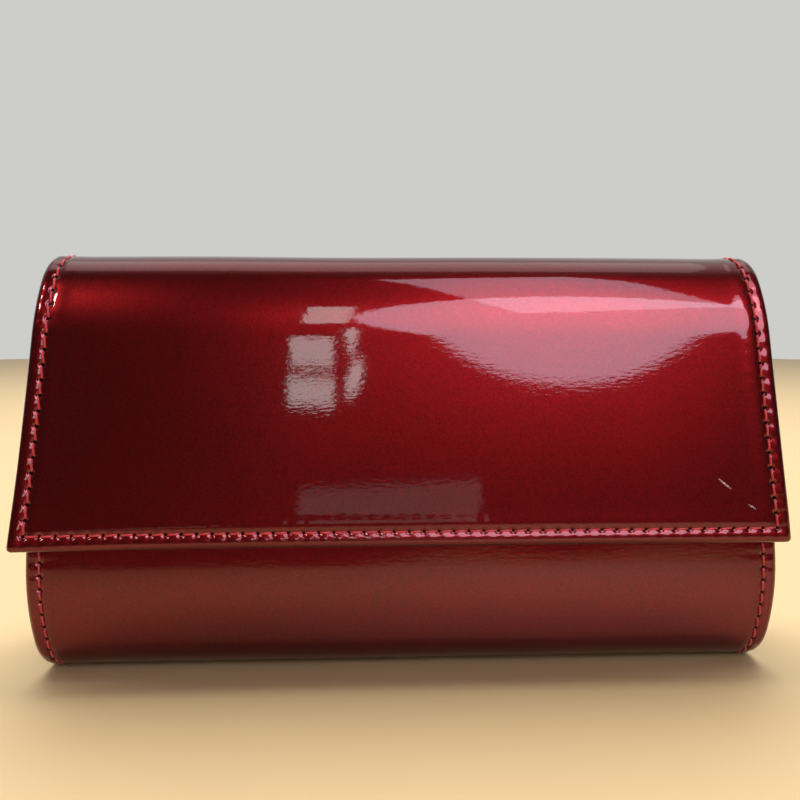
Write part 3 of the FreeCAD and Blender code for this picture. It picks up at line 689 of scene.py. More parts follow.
@dataclass
class TurnedPanel:
    """A panel of the wrap whose skin is rolled round two sides and one cross edge."""

    seam: float
    edge: float
    relief: Relief
    row_step: float = 1.1 * MM
    column_step: float = 1.1 * MM
    hem: float = 9.0 * MM
    corner: float = 1.6 * MM

    def rounded(self, x: Array, s: Array) -> tuple[Array, Array]:
        """Rounds the panel's two corners in its own plane.

        Args:
            x: Across the bag.
            s: Length along the wrap.

        Returns:
            The same places, with the corners rounded.
        """
        sign = 1.0 if self.edge > self.seam else -1.0
        side = WRAP.edge(s) - np.abs(x)
        cross = (self.edge - s) * sign
        near = np.minimum(side, cross)
        across, down = self.corner - side, self.corner - cross
        reach = np.hypot(across, down)
        inside = (across > 0) & (down > 0)
        scale = np.where(inside, (self.corner - near) / np.maximum(reach, 1e-9), 1.0)
        new_side = np.where(inside, self.corner - across * scale, side)
        new_cross = np.where(inside, self.corner - down * scale, cross)
        return (np.sign(x) * (WRAP.edge(s) - new_side), self.edge - sign * new_cross)

    def points(self, c: Array, r: Array, inset: Array, depth: Array, top: bool) -> tuple:
        """Points of the panel from shares of its width and length.

        Args:
            c: Share of the half width, from -1 to 1.
            r: Share of the length from the seam.
            inset: Distance of the loop from the edges.
            depth: Depth of the loop.
            top: Whether the loop is on the outer face, where the relief shows.

        Returns:
            Points in the frame, their places on the flat sheet, and their places by the seam.
        """
        sign = 1.0 if self.edge > self.seam else -1.0
        s = self.seam + r * (self.edge - sign * inset - self.seam)
        x = c * (WRAP.edge(s) - inset)
        x, s = self.rounded(x, s)
        high = self.relief.height(x, s) if top else 0.0
        lift = flare(x, s)
        made = WRAP.place(x, s, depth - high - lift)
        seam = self.relief.seam_map(x, s) if top else np.full((*np.shape(x), 2), 1.0)
        return made, np.stack(np.broadcast_arrays(x, s), axis=-1), seam

    def loops(self) -> list[tuple[float, float, bool]]:
        """Inset, depth and face of each loop from the hem line outwards and round the edge.

        Returns:
            Inset, depth and whether it is on the outer face, for each loop.
        """
        top = np.array([8.2, 7.4, 6.8, 6.3, 5.9, 5.55, 5.25, 4.95, 4.65, 4.35, 4.0, 3.6, 3.1, 2.6,
                        2.1, 1.6]) * MM
        made = [(float(o), 0.0, True) for o in top]
        radius = WRAP.thickness / 2
        for angle in np.linspace(90, -90, 10)[1:]:
            turn = math.radians(angle)
            made.append((radius * (1 - math.cos(turn)), radius * (1 - math.sin(turn)), False))
        made += [(o * MM, WRAP.thickness, False) for o in (3.0, 4.5, 6.0, 7.5)]
        made.append((self.hem, WRAP.thickness, False))
        return made

    def skin(self, name: str, material: bpy.types.Material) -> bpy.types.Object:
        """Builds the panel's skin with its rolled edges and turned-in hem.

        Args:
            name: Name of the piece.
            material: Its finish.

        Returns:
            The skin as a closed shell.
        """
        length = abs(self.edge - self.seam)
        rows = int(round((length - self.hem) / self.row_step)) + 1
        width = 2 * (WRAP.width / 2 - self.hem)
        columns = int(round(width / self.column_step)) + 1
        c, r = np.linspace(-1, 1, columns), np.linspace(0, 1, rows)
        maker = MeshBuilder()
        cc, rr = np.meshgrid(c, r)
        inner = maker.add(*self.points(cc, rr, self.hem, 0.0, True))
        maker.quads(inner)
        ring_c = np.concatenate([np.full(rows, -1.0), c[1:-1], np.full(rows, 1.0)])
        ring_r = np.concatenate([r, np.ones(columns - 2), r[::-1]])
        last = np.concatenate([inner[:, 0], inner[-1, 1:-1], inner[::-1, -1]])
        for inset, depth, top in self.loops():
            ids = maker.add(*self.points(ring_c, ring_r, inset, depth, top))
            maker.quads(np.stack([last, ids]))
            last = ids
        out = Vector(WRAP.outward(np.array(self.seam)))
        piece = maker.build(name, material, out)
        return thickened(piece, WRAP.skin)


# ---------------------------------------------------------------- finishes
def new_material(name: str) -> tuple[bpy.types.Material, bpy.types.NodeTree, bpy.types.Node]:
    """Makes a material with an untouched main shader.

    Args:
        name: Its name.

    Returns:
        The material, its tree and its main shader.
    """
    material = bpy.data.materials.new(name)
    material.use_nodes = True
    return material, material.node_tree, material.node_tree.nodes["Principled BSDF"]


@dataclass(frozen=True)
class PatentFinish:
    """Polyurethane patent sheet: a pearl pigment coat under a poured, glossy clear film.

    The pigment's mica flakes give a soft metallic glow, and the clear film gives sharp
    reflections that a slight orange peel breaks up. Needle holes pucker it along the seams, and
    the shade inside each hole is painted in as a near-black colour.
    Real flakes are under 0.1 mm across; they are drawn coarser so that they show.
    """

    name: str = "patent_polyurethane_pearl_red"
    base: str = "#74060a"
    shade: str = "#460304"
    metallic: float = 0.93
    roughness: float = 0.30
    film_roughness: float = 0.03
    flake: float = 0.34 * MM
    peel: float = 1.5 * MM
    cloud: float = 45.0 * MM
    pitch: float = 4.7 * MM
    # Painted shade: a near-black colour stands in for the depth of each needle hole.
    hole: float = 0.56 * MM
    hole_shade_colour: str = "#140204"
    pucker: float = 0.28 * MM
    flake_tilt: float = 0.22
    specular: float = 0.3
    film_ior: float = 1.42
    scuff_colour: str = "#e6d8d4"
    scuff_width: float = 0.34 * MM
    scuffs: tuple[tuple[float, float, float, float], ...] = (
        (105.0 * MM, 19.6 * MM, 3.1 * MM, 40.0), (114.0 * MM, 12.0 * MM, 1.7 * MM, 33.0))

    def punctures(self, tree: bpy.types.NodeTree) -> bpy.types.NodeSocket:
        """Distance from the nearest needle hole, in metres.

        Args:
            tree: The material's tree.

        Returns:
            A socket with the distance.
        """
        seam = add_node(tree, "ShaderNodeUVMap", uv_map="seam").outputs[0]
        split = add_node(tree, "ShaderNodeSeparateXYZ", {0: seam})
        turn = add_node(tree, "ShaderNodeMath", {0: split.outputs[0], 1: 0.5}, operation="ADD")
        part = add_node(tree, "ShaderNodeMath", {0: turn.outputs[0]}, operation="FRACT")
        offset = add_node(tree, "ShaderNodeMath", {0: part.outputs[0], 1: -0.5}, operation="ADD")
        along = add_node(tree, "ShaderNodeMath", {0: offset.outputs[0], 1: self.pitch},
                         operation="MULTIPLY")
        place = add_node(tree, "ShaderNodeCombineXYZ", {0: along.outputs[0], 1: split.outputs[1]})
        return add_node(tree, "ShaderNodeVectorMath", {0: place.outputs[0]},
                        operation="LENGTH").outputs["Value"]

    def scuffed(self, tree: bpy.types.NodeTree) -> bpy.types.NodeSocket:
        """1 on the small scuff marks above the flap's lower edge and 0 elsewhere.

        Args:
            tree: The material's tree.

        Returns:
            A socket that is 1 on a scuff.
        """
        flat = add_node(tree, "ShaderNodeUVMap", uv_map="sheet").outputs[0]
        grit = add_node(tree, "ShaderNodeTexNoise", {"Vector": flat, "Scale": 2200.0})
        total = None
        for x, above, half, angle in self.scuffs:
            local = add_node(tree, "ShaderNodeMapping",
                             {"Vector": flat, "Location": (x, WRAP.end - above, 0),
                              "Rotation": (0, 0, math.radians(angle))}, vector_type="TEXTURE")
            shape = add_node(tree, "ShaderNodeVectorMath",
                             {0: local.outputs[0], 1: (1 / half, 1 / self.scuff_width, 0)},
                             operation="MULTIPLY")
            reach = add_node(tree, "ShaderNodeVectorMath", {0: shape.outputs[0]},
                             operation="LENGTH")
            mark = add_node(tree, "ShaderNodeMapRange",
                            {"Value": reach.outputs["Value"], "From Min": 1.0, "From Max": 0.5})
            total = mark.outputs[0] if total is None else add_node(
                tree, "ShaderNodeMath", {0: total, 1: mark.outputs[0]},
                operation="MAXIMUM").outputs[0]
        worn = add_node(tree, "ShaderNodeMapRange",
                        {"Value": grit.outputs["Fac"], "From Min": 0.42, "From Max": 0.56})
        return add_node(tree, "ShaderNodeMath", {0: total, 1: worn.outputs[0]},
                        operation="MULTIPLY").outputs[0]

    def build(self) -> bpy.types.Material:
        """Makes the material.

        Returns:
            The material.
        """
        material, tree, shader = new_material(self.name)
        place = add_node(tree, "ShaderNodeTexCoord").outputs["Object"]
        cloud = add_node(tree, "ShaderNodeTexNoise",
                         {"Vector": place, "Scale": 1 / self.cloud, "Detail": 3.0})
        flake = add_node(tree, "ShaderNodeTexVoronoi", {"Vector": place, "Scale": 1 / self.flake})
        grain = add_node(tree, "ShaderNodeMath", {0: flake.outputs["Color"], 1: 0.7},
                         operation="MULTIPLY")
        drift = add_node(tree, "ShaderNodeMath", {0: cloud.outputs["Fac"], 1: 0.4},
                         operation="MULTIPLY")
        blend = add_node(tree, "ShaderNodeMath", {0: drift.outputs[0], 1: grain.outputs[0]},
                         operation="ADD")
        ramp = add_node(tree, "ShaderNodeMapRange",
                        {"Value": blend.outputs[0], "From Min": 0.15, "From Max": 0.95})
        colour = mixed_colour(tree, ramp.outputs["Result"], self.shade, self.base)
        distance = self.punctures(tree)
        # Painted shade: each needle hole is painted near-black for a depth that the mesh does not
        # have, and the clear film is left off there.
        hole_shade_mask = add_node(tree, "ShaderNodeMapRange",
                        {"Value": distance, "From Min": self.hole * 1.15,
                         "From Max": self.hole * 0.8})
        colour = mixed_colour(tree, hole_shade_mask.outputs["Result"], colour, self.hole_shade_colour)
        scuff = self.scuffed(tree)
        colour = mixed_colour(tree, scuff, colour, self.scuff_colour)
        pucker = add_node(tree, "ShaderNodeMapRange",
                          {"Value": distance, "From Min": self.hole * 0.7,
                           "From Max": self.hole * 2.9}, interpolation_type="SMOOTHERSTEP")
        dimple = add_node(tree, "ShaderNodeBump",
                          {"Height": pucker.outputs["Result"], "Strength": 0.9,
                           "Distance": self.pucker})
        flat = add_node(tree, "ShaderNodeMapping", {"Vector": place, "Scale": (0.55, 1.0, 1.5)})
        peel = add_node(tree, "ShaderNodeTexNoise",
                        {"Vector": flat.outputs[0], "Scale": 1 / self.peel, "Detail": 3.0})
        film = add_node(tree, "ShaderNodeBump",
                        {"Height": peel.outputs["Fac"], "Strength": 0.20, "Distance": 0.05 * MM,
                         "Normal": dimple.outputs[0]})
        flakes = add_node(tree, "ShaderNodeBump",
                          {"Height": flake.outputs["Distance"], "Strength": self.flake_tilt,
                           "Distance": 0.05 * MM, "Normal": film.outputs[0]})
        rough = add_node(tree, "ShaderNodeMapRange",
                         {"Value": scuff, "To Min": self.roughness, "To Max": 0.9})
        metal = add_node(tree, "ShaderNodeMapRange",
                         {"Value": scuff, "To Min": self.metallic, "To Max": 0.0})
        open_hole = add_node(tree, "ShaderNodeMath", {0: hole_shade_mask.outputs["Result"], 1: scuff},
                             operation="MAXIMUM")
        film_cover = add_node(tree, "ShaderNodeMapRange",
                              {"Value": open_hole.outputs[0], "To Min": 1.0, "To Max": 0.0})
        for socket, name in ((colour, "Base Color"), (flakes.outputs[0], "Normal"),
                             (film.outputs[0], "Coat Normal"), (rough.outputs[0], "Roughness"),
                             (metal.outputs[0], "Metallic"),
                             (film_cover.outputs[0], "Coat Weight")):
            tree.links.new(socket, shader.inputs[name])
        shader.inputs["Specular IOR Level"].default_value = self.specular
        shader.inputs["Coat Roughness"].default_value = self.film_roughness
        shader.inputs["Coat IOR"].default_value = self.film_ior
        return material


@dataclass(frozen=True)
class ThreadFinish:
    """Bonded polyester sewing thread, twisted: satin, with its plies showing as fine ribs."""

    name: str = "bonded_polyester_thread_red"
    base: str = "#e0202f"
    ply: float = 0.45 * MM

    def build(self) -> bpy.types.Material:
        """Makes the material.

        Returns:
            The material.
        """
        material, tree, shader = new_material(self.name)
        place = add_node(tree, "ShaderNodeTexCoord").outputs["Object"]
        turned = add_node(tree, "ShaderNodeMapping", {"Vector": place, "Rotation": (0.5, 0.7, 0.6)})
        ply = add_node(tree, "ShaderNodeTexWave",
                       {"Vector": turned.outputs[0], "Scale": 1 / (self.ply * 6.28)})
        bump = add_node(tree, "ShaderNodeBump",
                        {"Height": ply.outputs["Fac"], "Strength": 0.5, "Distance": 0.1 * MM})
        tree.links.new(bump.outputs[0], shader.inputs["Normal"])
        shader.inputs["Base Color"].default_value = linear(self.base)
        shader.inputs["Roughness"].default_value = 0.42
        shader.inputs["Sheen Weight"].default_value = 0.3
        return material


@dataclass(frozen=True)
class PlainFinish:
    """An even surface whose roughness varies a little, as handled metal's or board's does."""

    name: str
    base: str
    roughness: float = 0.6
    metallic: float = 0.0
    grain: float = 0.4 * MM

    def build(self) -> bpy.types.Material:
        """Makes the material.

        Returns:
            The material.
        """
        material, tree, shader = new_material(self.name)
        place = add_node(tree, "ShaderNodeTexCoord").outputs["Object"]
        noise = add_node(tree, "ShaderNodeTexNoise", {"Vector": place, "Scale": 1 / self.grain})
        rough = add_node(tree, "ShaderNodeMapRange",
                         {"Value": noise.outputs["Fac"], "To Min": self.roughness * 0.8,
                          "To Max": min(1.0, self.roughness * 1.2)})
        tree.links.new(rough.outputs["Result"], shader.inputs["Roughness"])
        shader.inputs["Base Color"].default_value = linear(self.base)
        shader.inputs["Metallic"].default_value = self.metallic
        return material


@dataclass(frozen=True)
class ClothFinish:
    """Woven polyester satin lining: a fine twill that shines along its warp.

    Its real yarns lie about 0.15 mm apart; they are drawn coarser so that they show.
    """

    name: str = "woven_polyester_satin"
    base: str = "#6a0f1a"
    light: str = "#9c2632"
    yarn: float = 0.28 * MM
    on_sheet: bool = True

    def build(self) -> bpy.types.Material:
        """Makes the material.

        Returns:
            The material.
        """
        material, tree, shader = new_material(self.name)
        place = add_node(tree, "ShaderNodeTexCoord").outputs["Object"]
        flat = (add_node(tree, "ShaderNodeUVMap", uv_map="sheet").outputs[0] if self.on_sheet
                else place)
        warp = add_node(tree, "ShaderNodeTexWave", {"Vector": flat, "Scale": 1 / (self.yarn * 6.28),
                                                    "Distortion": 0.4}, bands_direction="X")
        twill = add_node(tree, "ShaderNodeTexWave",
                         {"Vector": flat, "Scale": 1 / (self.yarn * 12.6), "Distortion": 0.4},
                         bands_direction="DIAGONAL")
        weave = add_node(tree, "ShaderNodeMath",
                         {0: warp.outputs["Fac"], 1: twill.outputs["Fac"]}, operation="MULTIPLY")
        cloud = add_node(tree, "ShaderNodeTexNoise",
                         {"Vector": place, "Scale": 60.0, "Detail": 4.0})
        both = add_node(tree, "ShaderNodeMath", {0: weave.outputs[0], 1: cloud.outputs["Fac"]},
                        operation="MULTIPLY")
        mix = mixed_colour(tree, both.outputs[0], self.base, self.light)
        bump = add_node(tree, "ShaderNodeBump", {"Height": weave.outputs[0], "Strength": 0.35,
                                                 "Distance": 0.05 * MM})
        tree.links.new(mix, shader.inputs["Base Color"])
        tree.links.new(bump.outputs[0], shader.inputs["Normal"])
        shader.inputs["Roughness"].default_value = 0.42
        shader.inputs["Anisotropic"].default_value = 0.5
        shader.inputs["Sheen Weight"].default_value = 0.12
        shader.inputs["Sheen Tint"].default_value = linear("#d98890")
        return material


@dataclass(frozen=True)
class TapeFinish:
    """Woven polyester tape of a zip: matt, with fine slanted ribs."""

    name: str = "woven_polyester_zip_tape"
    base: str = "#4c0d16"
    yarn: float = 0.5 * MM

    def build(self) -> bpy.types.Material:
        """Makes the material.

        Returns:
            The material.
        """
        material, tree, shader = new_material(self.name)
        place = add_node(tree, "ShaderNodeTexCoord").outputs["Object"]
        ribs = add_node(tree, "ShaderNodeTexWave",
                        {"Vector": place, "Scale": 1 / (self.yarn * 6.28), "Distortion": 0.6},
                        bands_direction="DIAGONAL")
        bump = add_node(tree, "ShaderNodeBump", {"Height": ribs.outputs["Fac"], "Strength": 0.6,
                                                 "Distance": 0.1 * MM})
        tree.links.new(bump.outputs[0], shader.inputs["Normal"])
        shader.inputs["Base Color"].default_value = linear(self.base)
        shader.inputs["Roughness"].default_value = 0.8
        return material


# ---------------------------------------------------------------- repeats by Geometry Nodes
def repeat_tree(name: str, made: str, seed: int, sizes: dict[str, float]) -> tuple:
    """Starts a node tree that puts something on each of its points.

    Args:
        name: Name of the tree.
        made: Name of what it gives out.
        seed: Choice of what is random.
        sizes: Its named sizes and their values.

    Returns:
        The tree, and the outputs of its input node.
    """
    tree = bpy.data.node_groups.new(name, "GeometryNodeTree")
    face = tree.interface
    face.new_socket("Points", in_out="INPUT", socket_type="NodeSocketGeometry")
    for label, value in sizes.items():
        size = face.new_socket(label, in_out="INPUT", socket_type="NodeSocketFloat")
        size.default_value = value
    chosen = face.new_socket("Seed", in_out="INPUT", socket_type="NodeSocketInt")
    chosen.default_value = seed
    face.new_socket(made, in_out="OUTPUT", socket_type="NodeSocketGeometry")
    return tree, tree.nodes.new("NodeGroupInput").outputs


def facing(tree: bpy.types.NodeTree) -> bpy.types.NodeSocket:
    """Adds the turn that stands a repeat on the surface and along its row.

    Args:
        tree: Tree whose points hold both directions.

    Returns:
        The rotation.
    """
    out, along = (add_node(tree, "GeometryNodeInputNamedAttribute", {"Name": way},
                           data_type="FLOAT_VECTOR").outputs[0] for way in ("outward", "along"))
    return add_node(tree, "FunctionNodeAxesToRotation", {0: out, 1: along},
                    primary_axis="Z", secondary_axis="X").outputs[0]


def varied(tree: bpy.types.NodeTree, seed: bpy.types.NodeSocket, low: float,
           high: float) -> bpy.types.NodeSocket:
    """Adds a number that differs a little from one repeat to the next.

    Args:
        tree: The tree.
        seed: Its seed.
        low: Smallest value.
        high: Largest value.

    Returns:
        The number.
    """
    node = add_node(tree, "FunctionNodeRandomValue", {"Seed": seed}, data_type="FLOAT")
    for socket in node.inputs:
        if socket.type == "VALUE":
            socket.default_value = low if socket.name == "Min" else high
    return next(socket for socket in node.outputs if socket.type == "VALUE")


# ---------------------------------------------------------------- topstitching
@dataclass
class StitchShape:
    """Sizes of one stitch, built by Geometry Nodes at each marked point."""

    length: float = 3.9 * MM
    width: float = 0.72 * MM
    rise: float = 0.50 * MM
    slant: float = 4.0
    seed: int = 11

    def tree(self, material: bpy.types.Material) -> bpy.types.NodeTree:
        """Makes the node tree that puts a stitch on every point.

        Args:
            material: The thread's finish.

        Returns:
            A tree with named inputs for the stitch's sizes.
        """
        tree, given = repeat_tree("stitch_row", "Stitches", self.seed,
                                  {"Length": self.length, "Width": self.width, "Rise": self.rise,
                                   "Slant": math.radians(self.slant)})
        half = add_node(tree, "ShaderNodeMath", {0: given["Length"], 1: 0.5}, operation="MULTIPLY")
        back = add_node(tree, "ShaderNodeMath", {0: half.outputs[0], 1: -1.0}, operation="MULTIPLY")
        dip = add_node(tree, "ShaderNodeMath", {0: given["Rise"], 1: -1.15}, operation="MULTIPLY")
        crown = add_node(tree, "ShaderNodeMath", {0: given["Rise"], 1: 1.0}, operation="MULTIPLY")
        ends = [add_node(tree, "ShaderNodeCombineXYZ", {"X": x.outputs[0], "Z": z.outputs[0]})
                for x, z in ((back, dip), (back, crown), (half, crown), (half, dip))]
        arc = add_node(tree, "GeometryNodeCurvePrimitiveBezierSegment",
                       {"Start": ends[0].outputs[0], "Start Handle": ends[1].outputs[0],
                        "End Handle": ends[2].outputs[0], "End": ends[3].outputs[0],
                        "Resolution": 7})
        radius = add_node(tree, "ShaderNodeMath", {0: given["Width"], 1: 0.5}, operation="MULTIPLY")
        ring = add_node(tree, "GeometryNodeCurvePrimitiveCircle",
                        {"Resolution": 6, "Radius": radius.outputs[0]}, mode="RADIUS")
        stitch = add_node(tree, "GeometryNodeCurveToMesh",
                          {"Curve": arc.outputs[0], "Profile Curve": ring.outputs["Curve"],
                           "Fill Caps": True})
        turn = facing(tree)
        spin = varied(tree, given["Seed"], -0.05, 0.05)
        lean = add_node(tree, "ShaderNodeMath", {0: given["Slant"], 1: spin}, operation="ADD")
        slant = add_node(tree, "FunctionNodeAxisAngleToRotation", {"Angle": lean.outputs[0]})
        both = add_node(tree, "FunctionNodeRotateRotation",
                        {0: turn, 1: slant.outputs[0]}, rotation_space="LOCAL")
        rows = add_node(tree, "GeometryNodeInstanceOnPoints",
                        {"Points": given["Points"], "Instance": stitch.outputs[0],
                         "Rotation": both.outputs[0]})
        real = add_node(tree, "GeometryNodeRealizeInstances", {0: rows.outputs[0]})
        soft = add_node(tree, "GeometryNodeSetShadeSmooth", {0: real.outputs[0]})
        dressed = add_node(tree, "GeometryNodeSetMaterial",
                           {"Geometry": soft.outputs[0], "Material": material})
        add_node(tree, "NodeGroupOutput", {"Stitches": dressed.outputs[0]})
        return tree


def grown(name: str, tree: bpy.types.NodeTree, points: Array, out: Array, along: Array,
          settings: dict[str, object] | None = None) -> bpy.types.Object:
    """Runs a Geometry Nodes tree on marked points and keeps its plain mesh.

    Args:
        name: Name of the piece.
        tree: Tree with a geometry input, and sizes as named inputs.
        points: Where each repeat goes.
        out: Direction away from the surface at each point.
        along: Direction along the row at each point.
        settings: Values for the tree's named inputs.

    Returns:
        The piece as a plain mesh.
    """
    mesh = bpy.data.meshes.new(name)
    mesh.from_pydata(points.tolist(), [], [])
    for label, values in (("outward", out), ("along", along)):
        layer = mesh.attributes.new(label, "FLOAT_VECTOR", "POINT")
        layer.data.foreach_set("vector", np.asarray(values, np.float32).ravel())
    piece = bpy.data.objects.new(name, mesh)
    bpy.context.scene.collection.objects.link(piece)
    nodes = piece.modifiers.new("repeat", "NODES")
    nodes.node_group = tree
    for item in tree.interface.items_tree:
        if item.in_out == "INPUT" and settings and item.name in settings:
            nodes[item.identifier] = settings[item.name]
    return finished(piece)


# ---------------------------------------------------------------- sheets inside the bag
def strip(name: str, material: bpy.types.Material, path: Path, s_values: Array,
          half: Callable[[Array], Array], depth: Callable[[Array, Array], Array],
          thickness: float, columns: int = 60,
          window: tuple[float, float, float] | None = None) -> bpy.types.Object:
    """Builds a sheet that follows a path across the bag's width.

    Args:
        name: Name of the piece.
        material: Its finish.
        path: Line that it follows.
        s_values: Lengths along the path for its rows.
        half: Half width from heights.
        depth: Depth of the face that looks into the bag, from X and lengths.
        thickness: Thickness, towards the wrap.
        columns: Faces across.
        window: Half width, and low and high length, of an opening in the sheet.

    Returns:
        The sheet as a closed shell.
    """
    share = np.linspace(-1, 1, columns + 1)
    rows = np.asarray(s_values, float)
    z = path.at(rows)[1]
    x = share[None, :] * half(z)[:, None]
    if window:
        for limit in (-window[0], window[0]):
            nearest = int(np.argmin(np.abs(share * float(half(z).mean()) - limit)))
            x[:, nearest] = limit
    s = np.repeat(rows[:, None], columns + 1, axis=1)
    y, z2, _ = path.at(s, depth(x, s))
    maker = MeshBuilder()
    ids = maker.add(np.stack([x, y, z2], axis=-1), np.stack([x, s], axis=-1))
    if window:
        mid_x = np.abs((x[:-1, :-1] + x[:-1, 1:]) / 2)
        mid_s = (s[:-1, :-1] + s[1:, :-1]) / 2
        keep = ~((mid_x < window[0]) & (mid_s > window[1]) & (mid_s < window[2]))
        a, b, c, d = ids[:-1, :-1], ids[:-1, 1:], ids[1:, 1:], ids[1:, :-1]
        maker.faces.append(np.stack([a, b, c, d], axis=-1)[keep])
    else:
        maker.quads(ids)
    heading = path.at(rows[:1])[2][0]
    inward = Vector((0, -math.sin(heading), math.cos(heading)))
    return thickened(maker.build(name, material, inward), thickness)


def ripple(x: Array, s: Array, height: float, seed: int) -> Array:
    """Slight unevenness of glued cloth, always away from what it is glued to.

    Args:
        x: Across the bag.
        s: Length along the wrap.
        height: Largest height of the waves.
        seed: Choice of their directions.

    Returns:
        Heights.
    """
    draw = np.random.default_rng(seed)
    total = np.zeros(np.broadcast(x, s).shape)
    for _ in range(6):
        length = draw.uniform(18, 60) * MM
        angle, phase = draw.uniform(0, 2 * math.pi, 2)
        total = total + np.sin((x * math.cos(angle) + s * math.sin(angle)) * 2 * math.pi / length
                               + phase)
    return height * (0.5 + total / 12)


@dataclass
class Linings:
    """Cloth lining of the bag and flap, the back's facing and the slip pocket."""

    cloth: float = 0.4 * MM
    gap: float = 0.1 * MM
    pocket_room: float = 2.4 * MM
    trim: float = 20.0 * MM
    side_inset: float = 10.6 * MM
    facing_overlap: float = 5.0 * MM
    gusset_drop: float = 4.0 * MM
    zip_drop: float = 15.0 * MM
    window_half: float = 66.6 * MM
    window_height: float = 10.0 * MM
    slip_half: float = 60.0 * MM
    slip_drop: float = 34.0 * MM
    slip_room: float = 1.1 * MM
    slip_seam: float = 1.2 * MM
    slip_slack: float = 0.9 * MM
    tapered_share: float = 0.985

    def __post_init__(self) -> None:
        """Works out the lining's own line and heights."""
        steps = list(WRAP.path.steps[:6])
        steps[0] = Step(steps[0].length - self.trim)
        steps[3] = Step(steps[3].length - self.pocket_room)
        y, z, heading = WRAP.path.at(np.array(self.trim))
        self.path = Path(float(y), float(z), float(heading), steps)
        self.top = WRAP.mouth_height - self.gusset_drop
        self.zip_height = self.top - self.zip_drop
        self.facing_low = self.zip_height + 13.2 * MM
        self.back_foot = float(self.path.starts[5, 0])
        self.face = WRAP.thickness + self.gap + self.cloth

    def length_at(self, height: float) -> float:
        """Length along the lining's line where its back reaches a height."""
        return self.back_foot + height - float(self.path.starts[5, 2])

    def shell(self, cloth: bpy.types.Material) -> bpy.types.Object:
        """Lining of the front, base and back, with the zip's window.

        Args:
            cloth: The lining's finish.

        Returns:
            The finished piece.
        """
        low, high = (self.length_at(self.zip_height + side * self.window_height / 2)
                     for side in (-1, 1))
        end = self.length_at(self.facing_low + self.facing_overlap)
        rows = np.concatenate([sampled(0, low, 3 * MM)[:-1], sampled(low, high, 2.5 * MM)[:-1],
                               sampled(high, end, 3 * MM)])

        def depth(x: Array, s: Array) -> Array:
            """Depth of the lining, flat round the zip's window and at the mouth.

            Args:
                x: Across the bag.
                s: Length along the lining's line.

            Returns:
                Depths below the outer face.
            """
            near_window = np.maximum(np.abs(x) - self.window_half,
                                     np.abs(s - (low + high) / 2) - self.window_height / 2)
            calm = smooth(near_window / (8 * MM)) * smooth(s / (8 * MM))
            return self.face + ripple(x, s, 0.35 * MM, 4) * calm

        piece = strip("shell_lining_cloth", cloth, self.path, rows,
                      lambda z: WRAP.half_width(z) - self.side_inset, depth, self.cloth, 100,
                      (self.window_half, low, high))
        settle(piece, "shell_lining", Body.BAG)
        return piece

    def facing(self, patent: bpy.types.Material) -> bpy.types.Object:
        """Skin facing inside the back's top, under the flap lining's end.

        Args:
            patent: The skin's finish.

        Returns:
            The finished piece.
        """
        start = WRAP.back_start + self.facing_low - 12 * MM
        rows = sampled(start, WRAP.hinge - 1.0 * MM, 2 * MM)
        inset = 10.3 * MM
        piece = strip("back_facing_skin", patent, WRAP.path, rows,
                      lambda z: WRAP.half_width(z) - inset,
                      lambda x, s: np.full_like(x, WRAP.thickness + 0.05 * MM + WRAP.skin),
                      WRAP.skin, 60)
        return settle(piece, "back_facing", Body.BAG)

    def flap(self, cloth: bpy.types.Material) -> bpy.types.Object:
        """Cloth under the flap, lapped over the back's facing.

        Args:
            cloth: The lining's finish.

        Returns:
            The finished piece.
        """
        inset = 2.5 * MM
        start = WRAP.crown_start + 3.5 * MM
        end = WRAP.end - inset
        rows = sampled(start, end, 1.6 * MM)
        over = WRAP.thickness + WRAP.skin + 0.15 * MM

        def depth(x: Array, s: Array) -> Array:
            """Depth of the cloth, which steps off the facing and follows the flare.

            Args:
                x: Across the bag.
                s: Length along the wrap.

            Returns:
                Depths below the outer face.
            """
            drop = smooth((s - WRAP.hinge + 2 * MM) / (14 * MM))
            near = over + (WRAP.thickness + 0.02 * MM - over) * drop + self.cloth
            edge = np.minimum(WRAP.edge(s) - inset - np.abs(x), end - s)
            calm = smooth((edge - 2.5 * MM) / (6 * MM)) * smooth((s - start) / (10 * MM))
            return near + ripple(x, s, 0.25 * MM, 8) * calm - flare(x, s)

        piece = strip("flap_lining_cloth", cloth, WRAP.path, rows,
                      lambda z: WRAP.half_width(z) - inset, depth, self.cloth, 110)
        settle(piece, "flap_lining", None)
        return piece

    def stiffening(self, use: Finishes) -> list[bpy.types.Object]:
        """The flap's foam, which bends with the skin over it, and its board.

        Args:
            use: The bag's finishes.

        Returns:
            The finished pieces.
        """
        inset = 0.9 * MM
        rows = sampled(WRAP.hinge + 0.2 * MM, WRAP.end - inset, 2 * MM)
        foam = strip("flap_foam_sheet", use.foam, WRAP.path, rows,
                      lambda z: WRAP.half_width(z) - inset,
                      lambda x, s: np.full_like(x, 1.55 * MM) - flare(x, s), 0.7 * MM, 80)
        rows = sampled(WRAP.shoulder_start, WRAP.end - inset, 3 * MM)
        board = strip("flap_board_sheet", use.board, WRAP.path, rows,
                      lambda z: WRAP.half_width(z) - inset,
                      lambda x, s: np.full_like(x, 2.36 * MM) - flare(x, s), 0.7 * MM, 80)
        return [settle(foam, "flap_foam", None),
                settle(board, "flap_board", Body.FLAP)]

    def slip(self, cloth: bpy.types.Material) -> bpy.types.Object:
        """Open pocket on the front wall, with a hemmed mouth that hangs a little slack.

        Args:
            cloth: The lining's finish.

        Returns:
            The finished piece.
        """
        start = self.slip_drop - self.trim
        belly = WRAP.front_end - self.trim
        end = belly - 3 * MM
        hem = 7 * MM
        rows = np.concatenate([sampled(start, start + hem, 1 * MM)[:-1],
                               sampled(start + hem, end - self.slip_seam * 3, 3 * MM)[:-1],
                               sampled(end - self.slip_seam * 3, end, 0.4 * MM)])
        base = self.face + self.gap + self.cloth

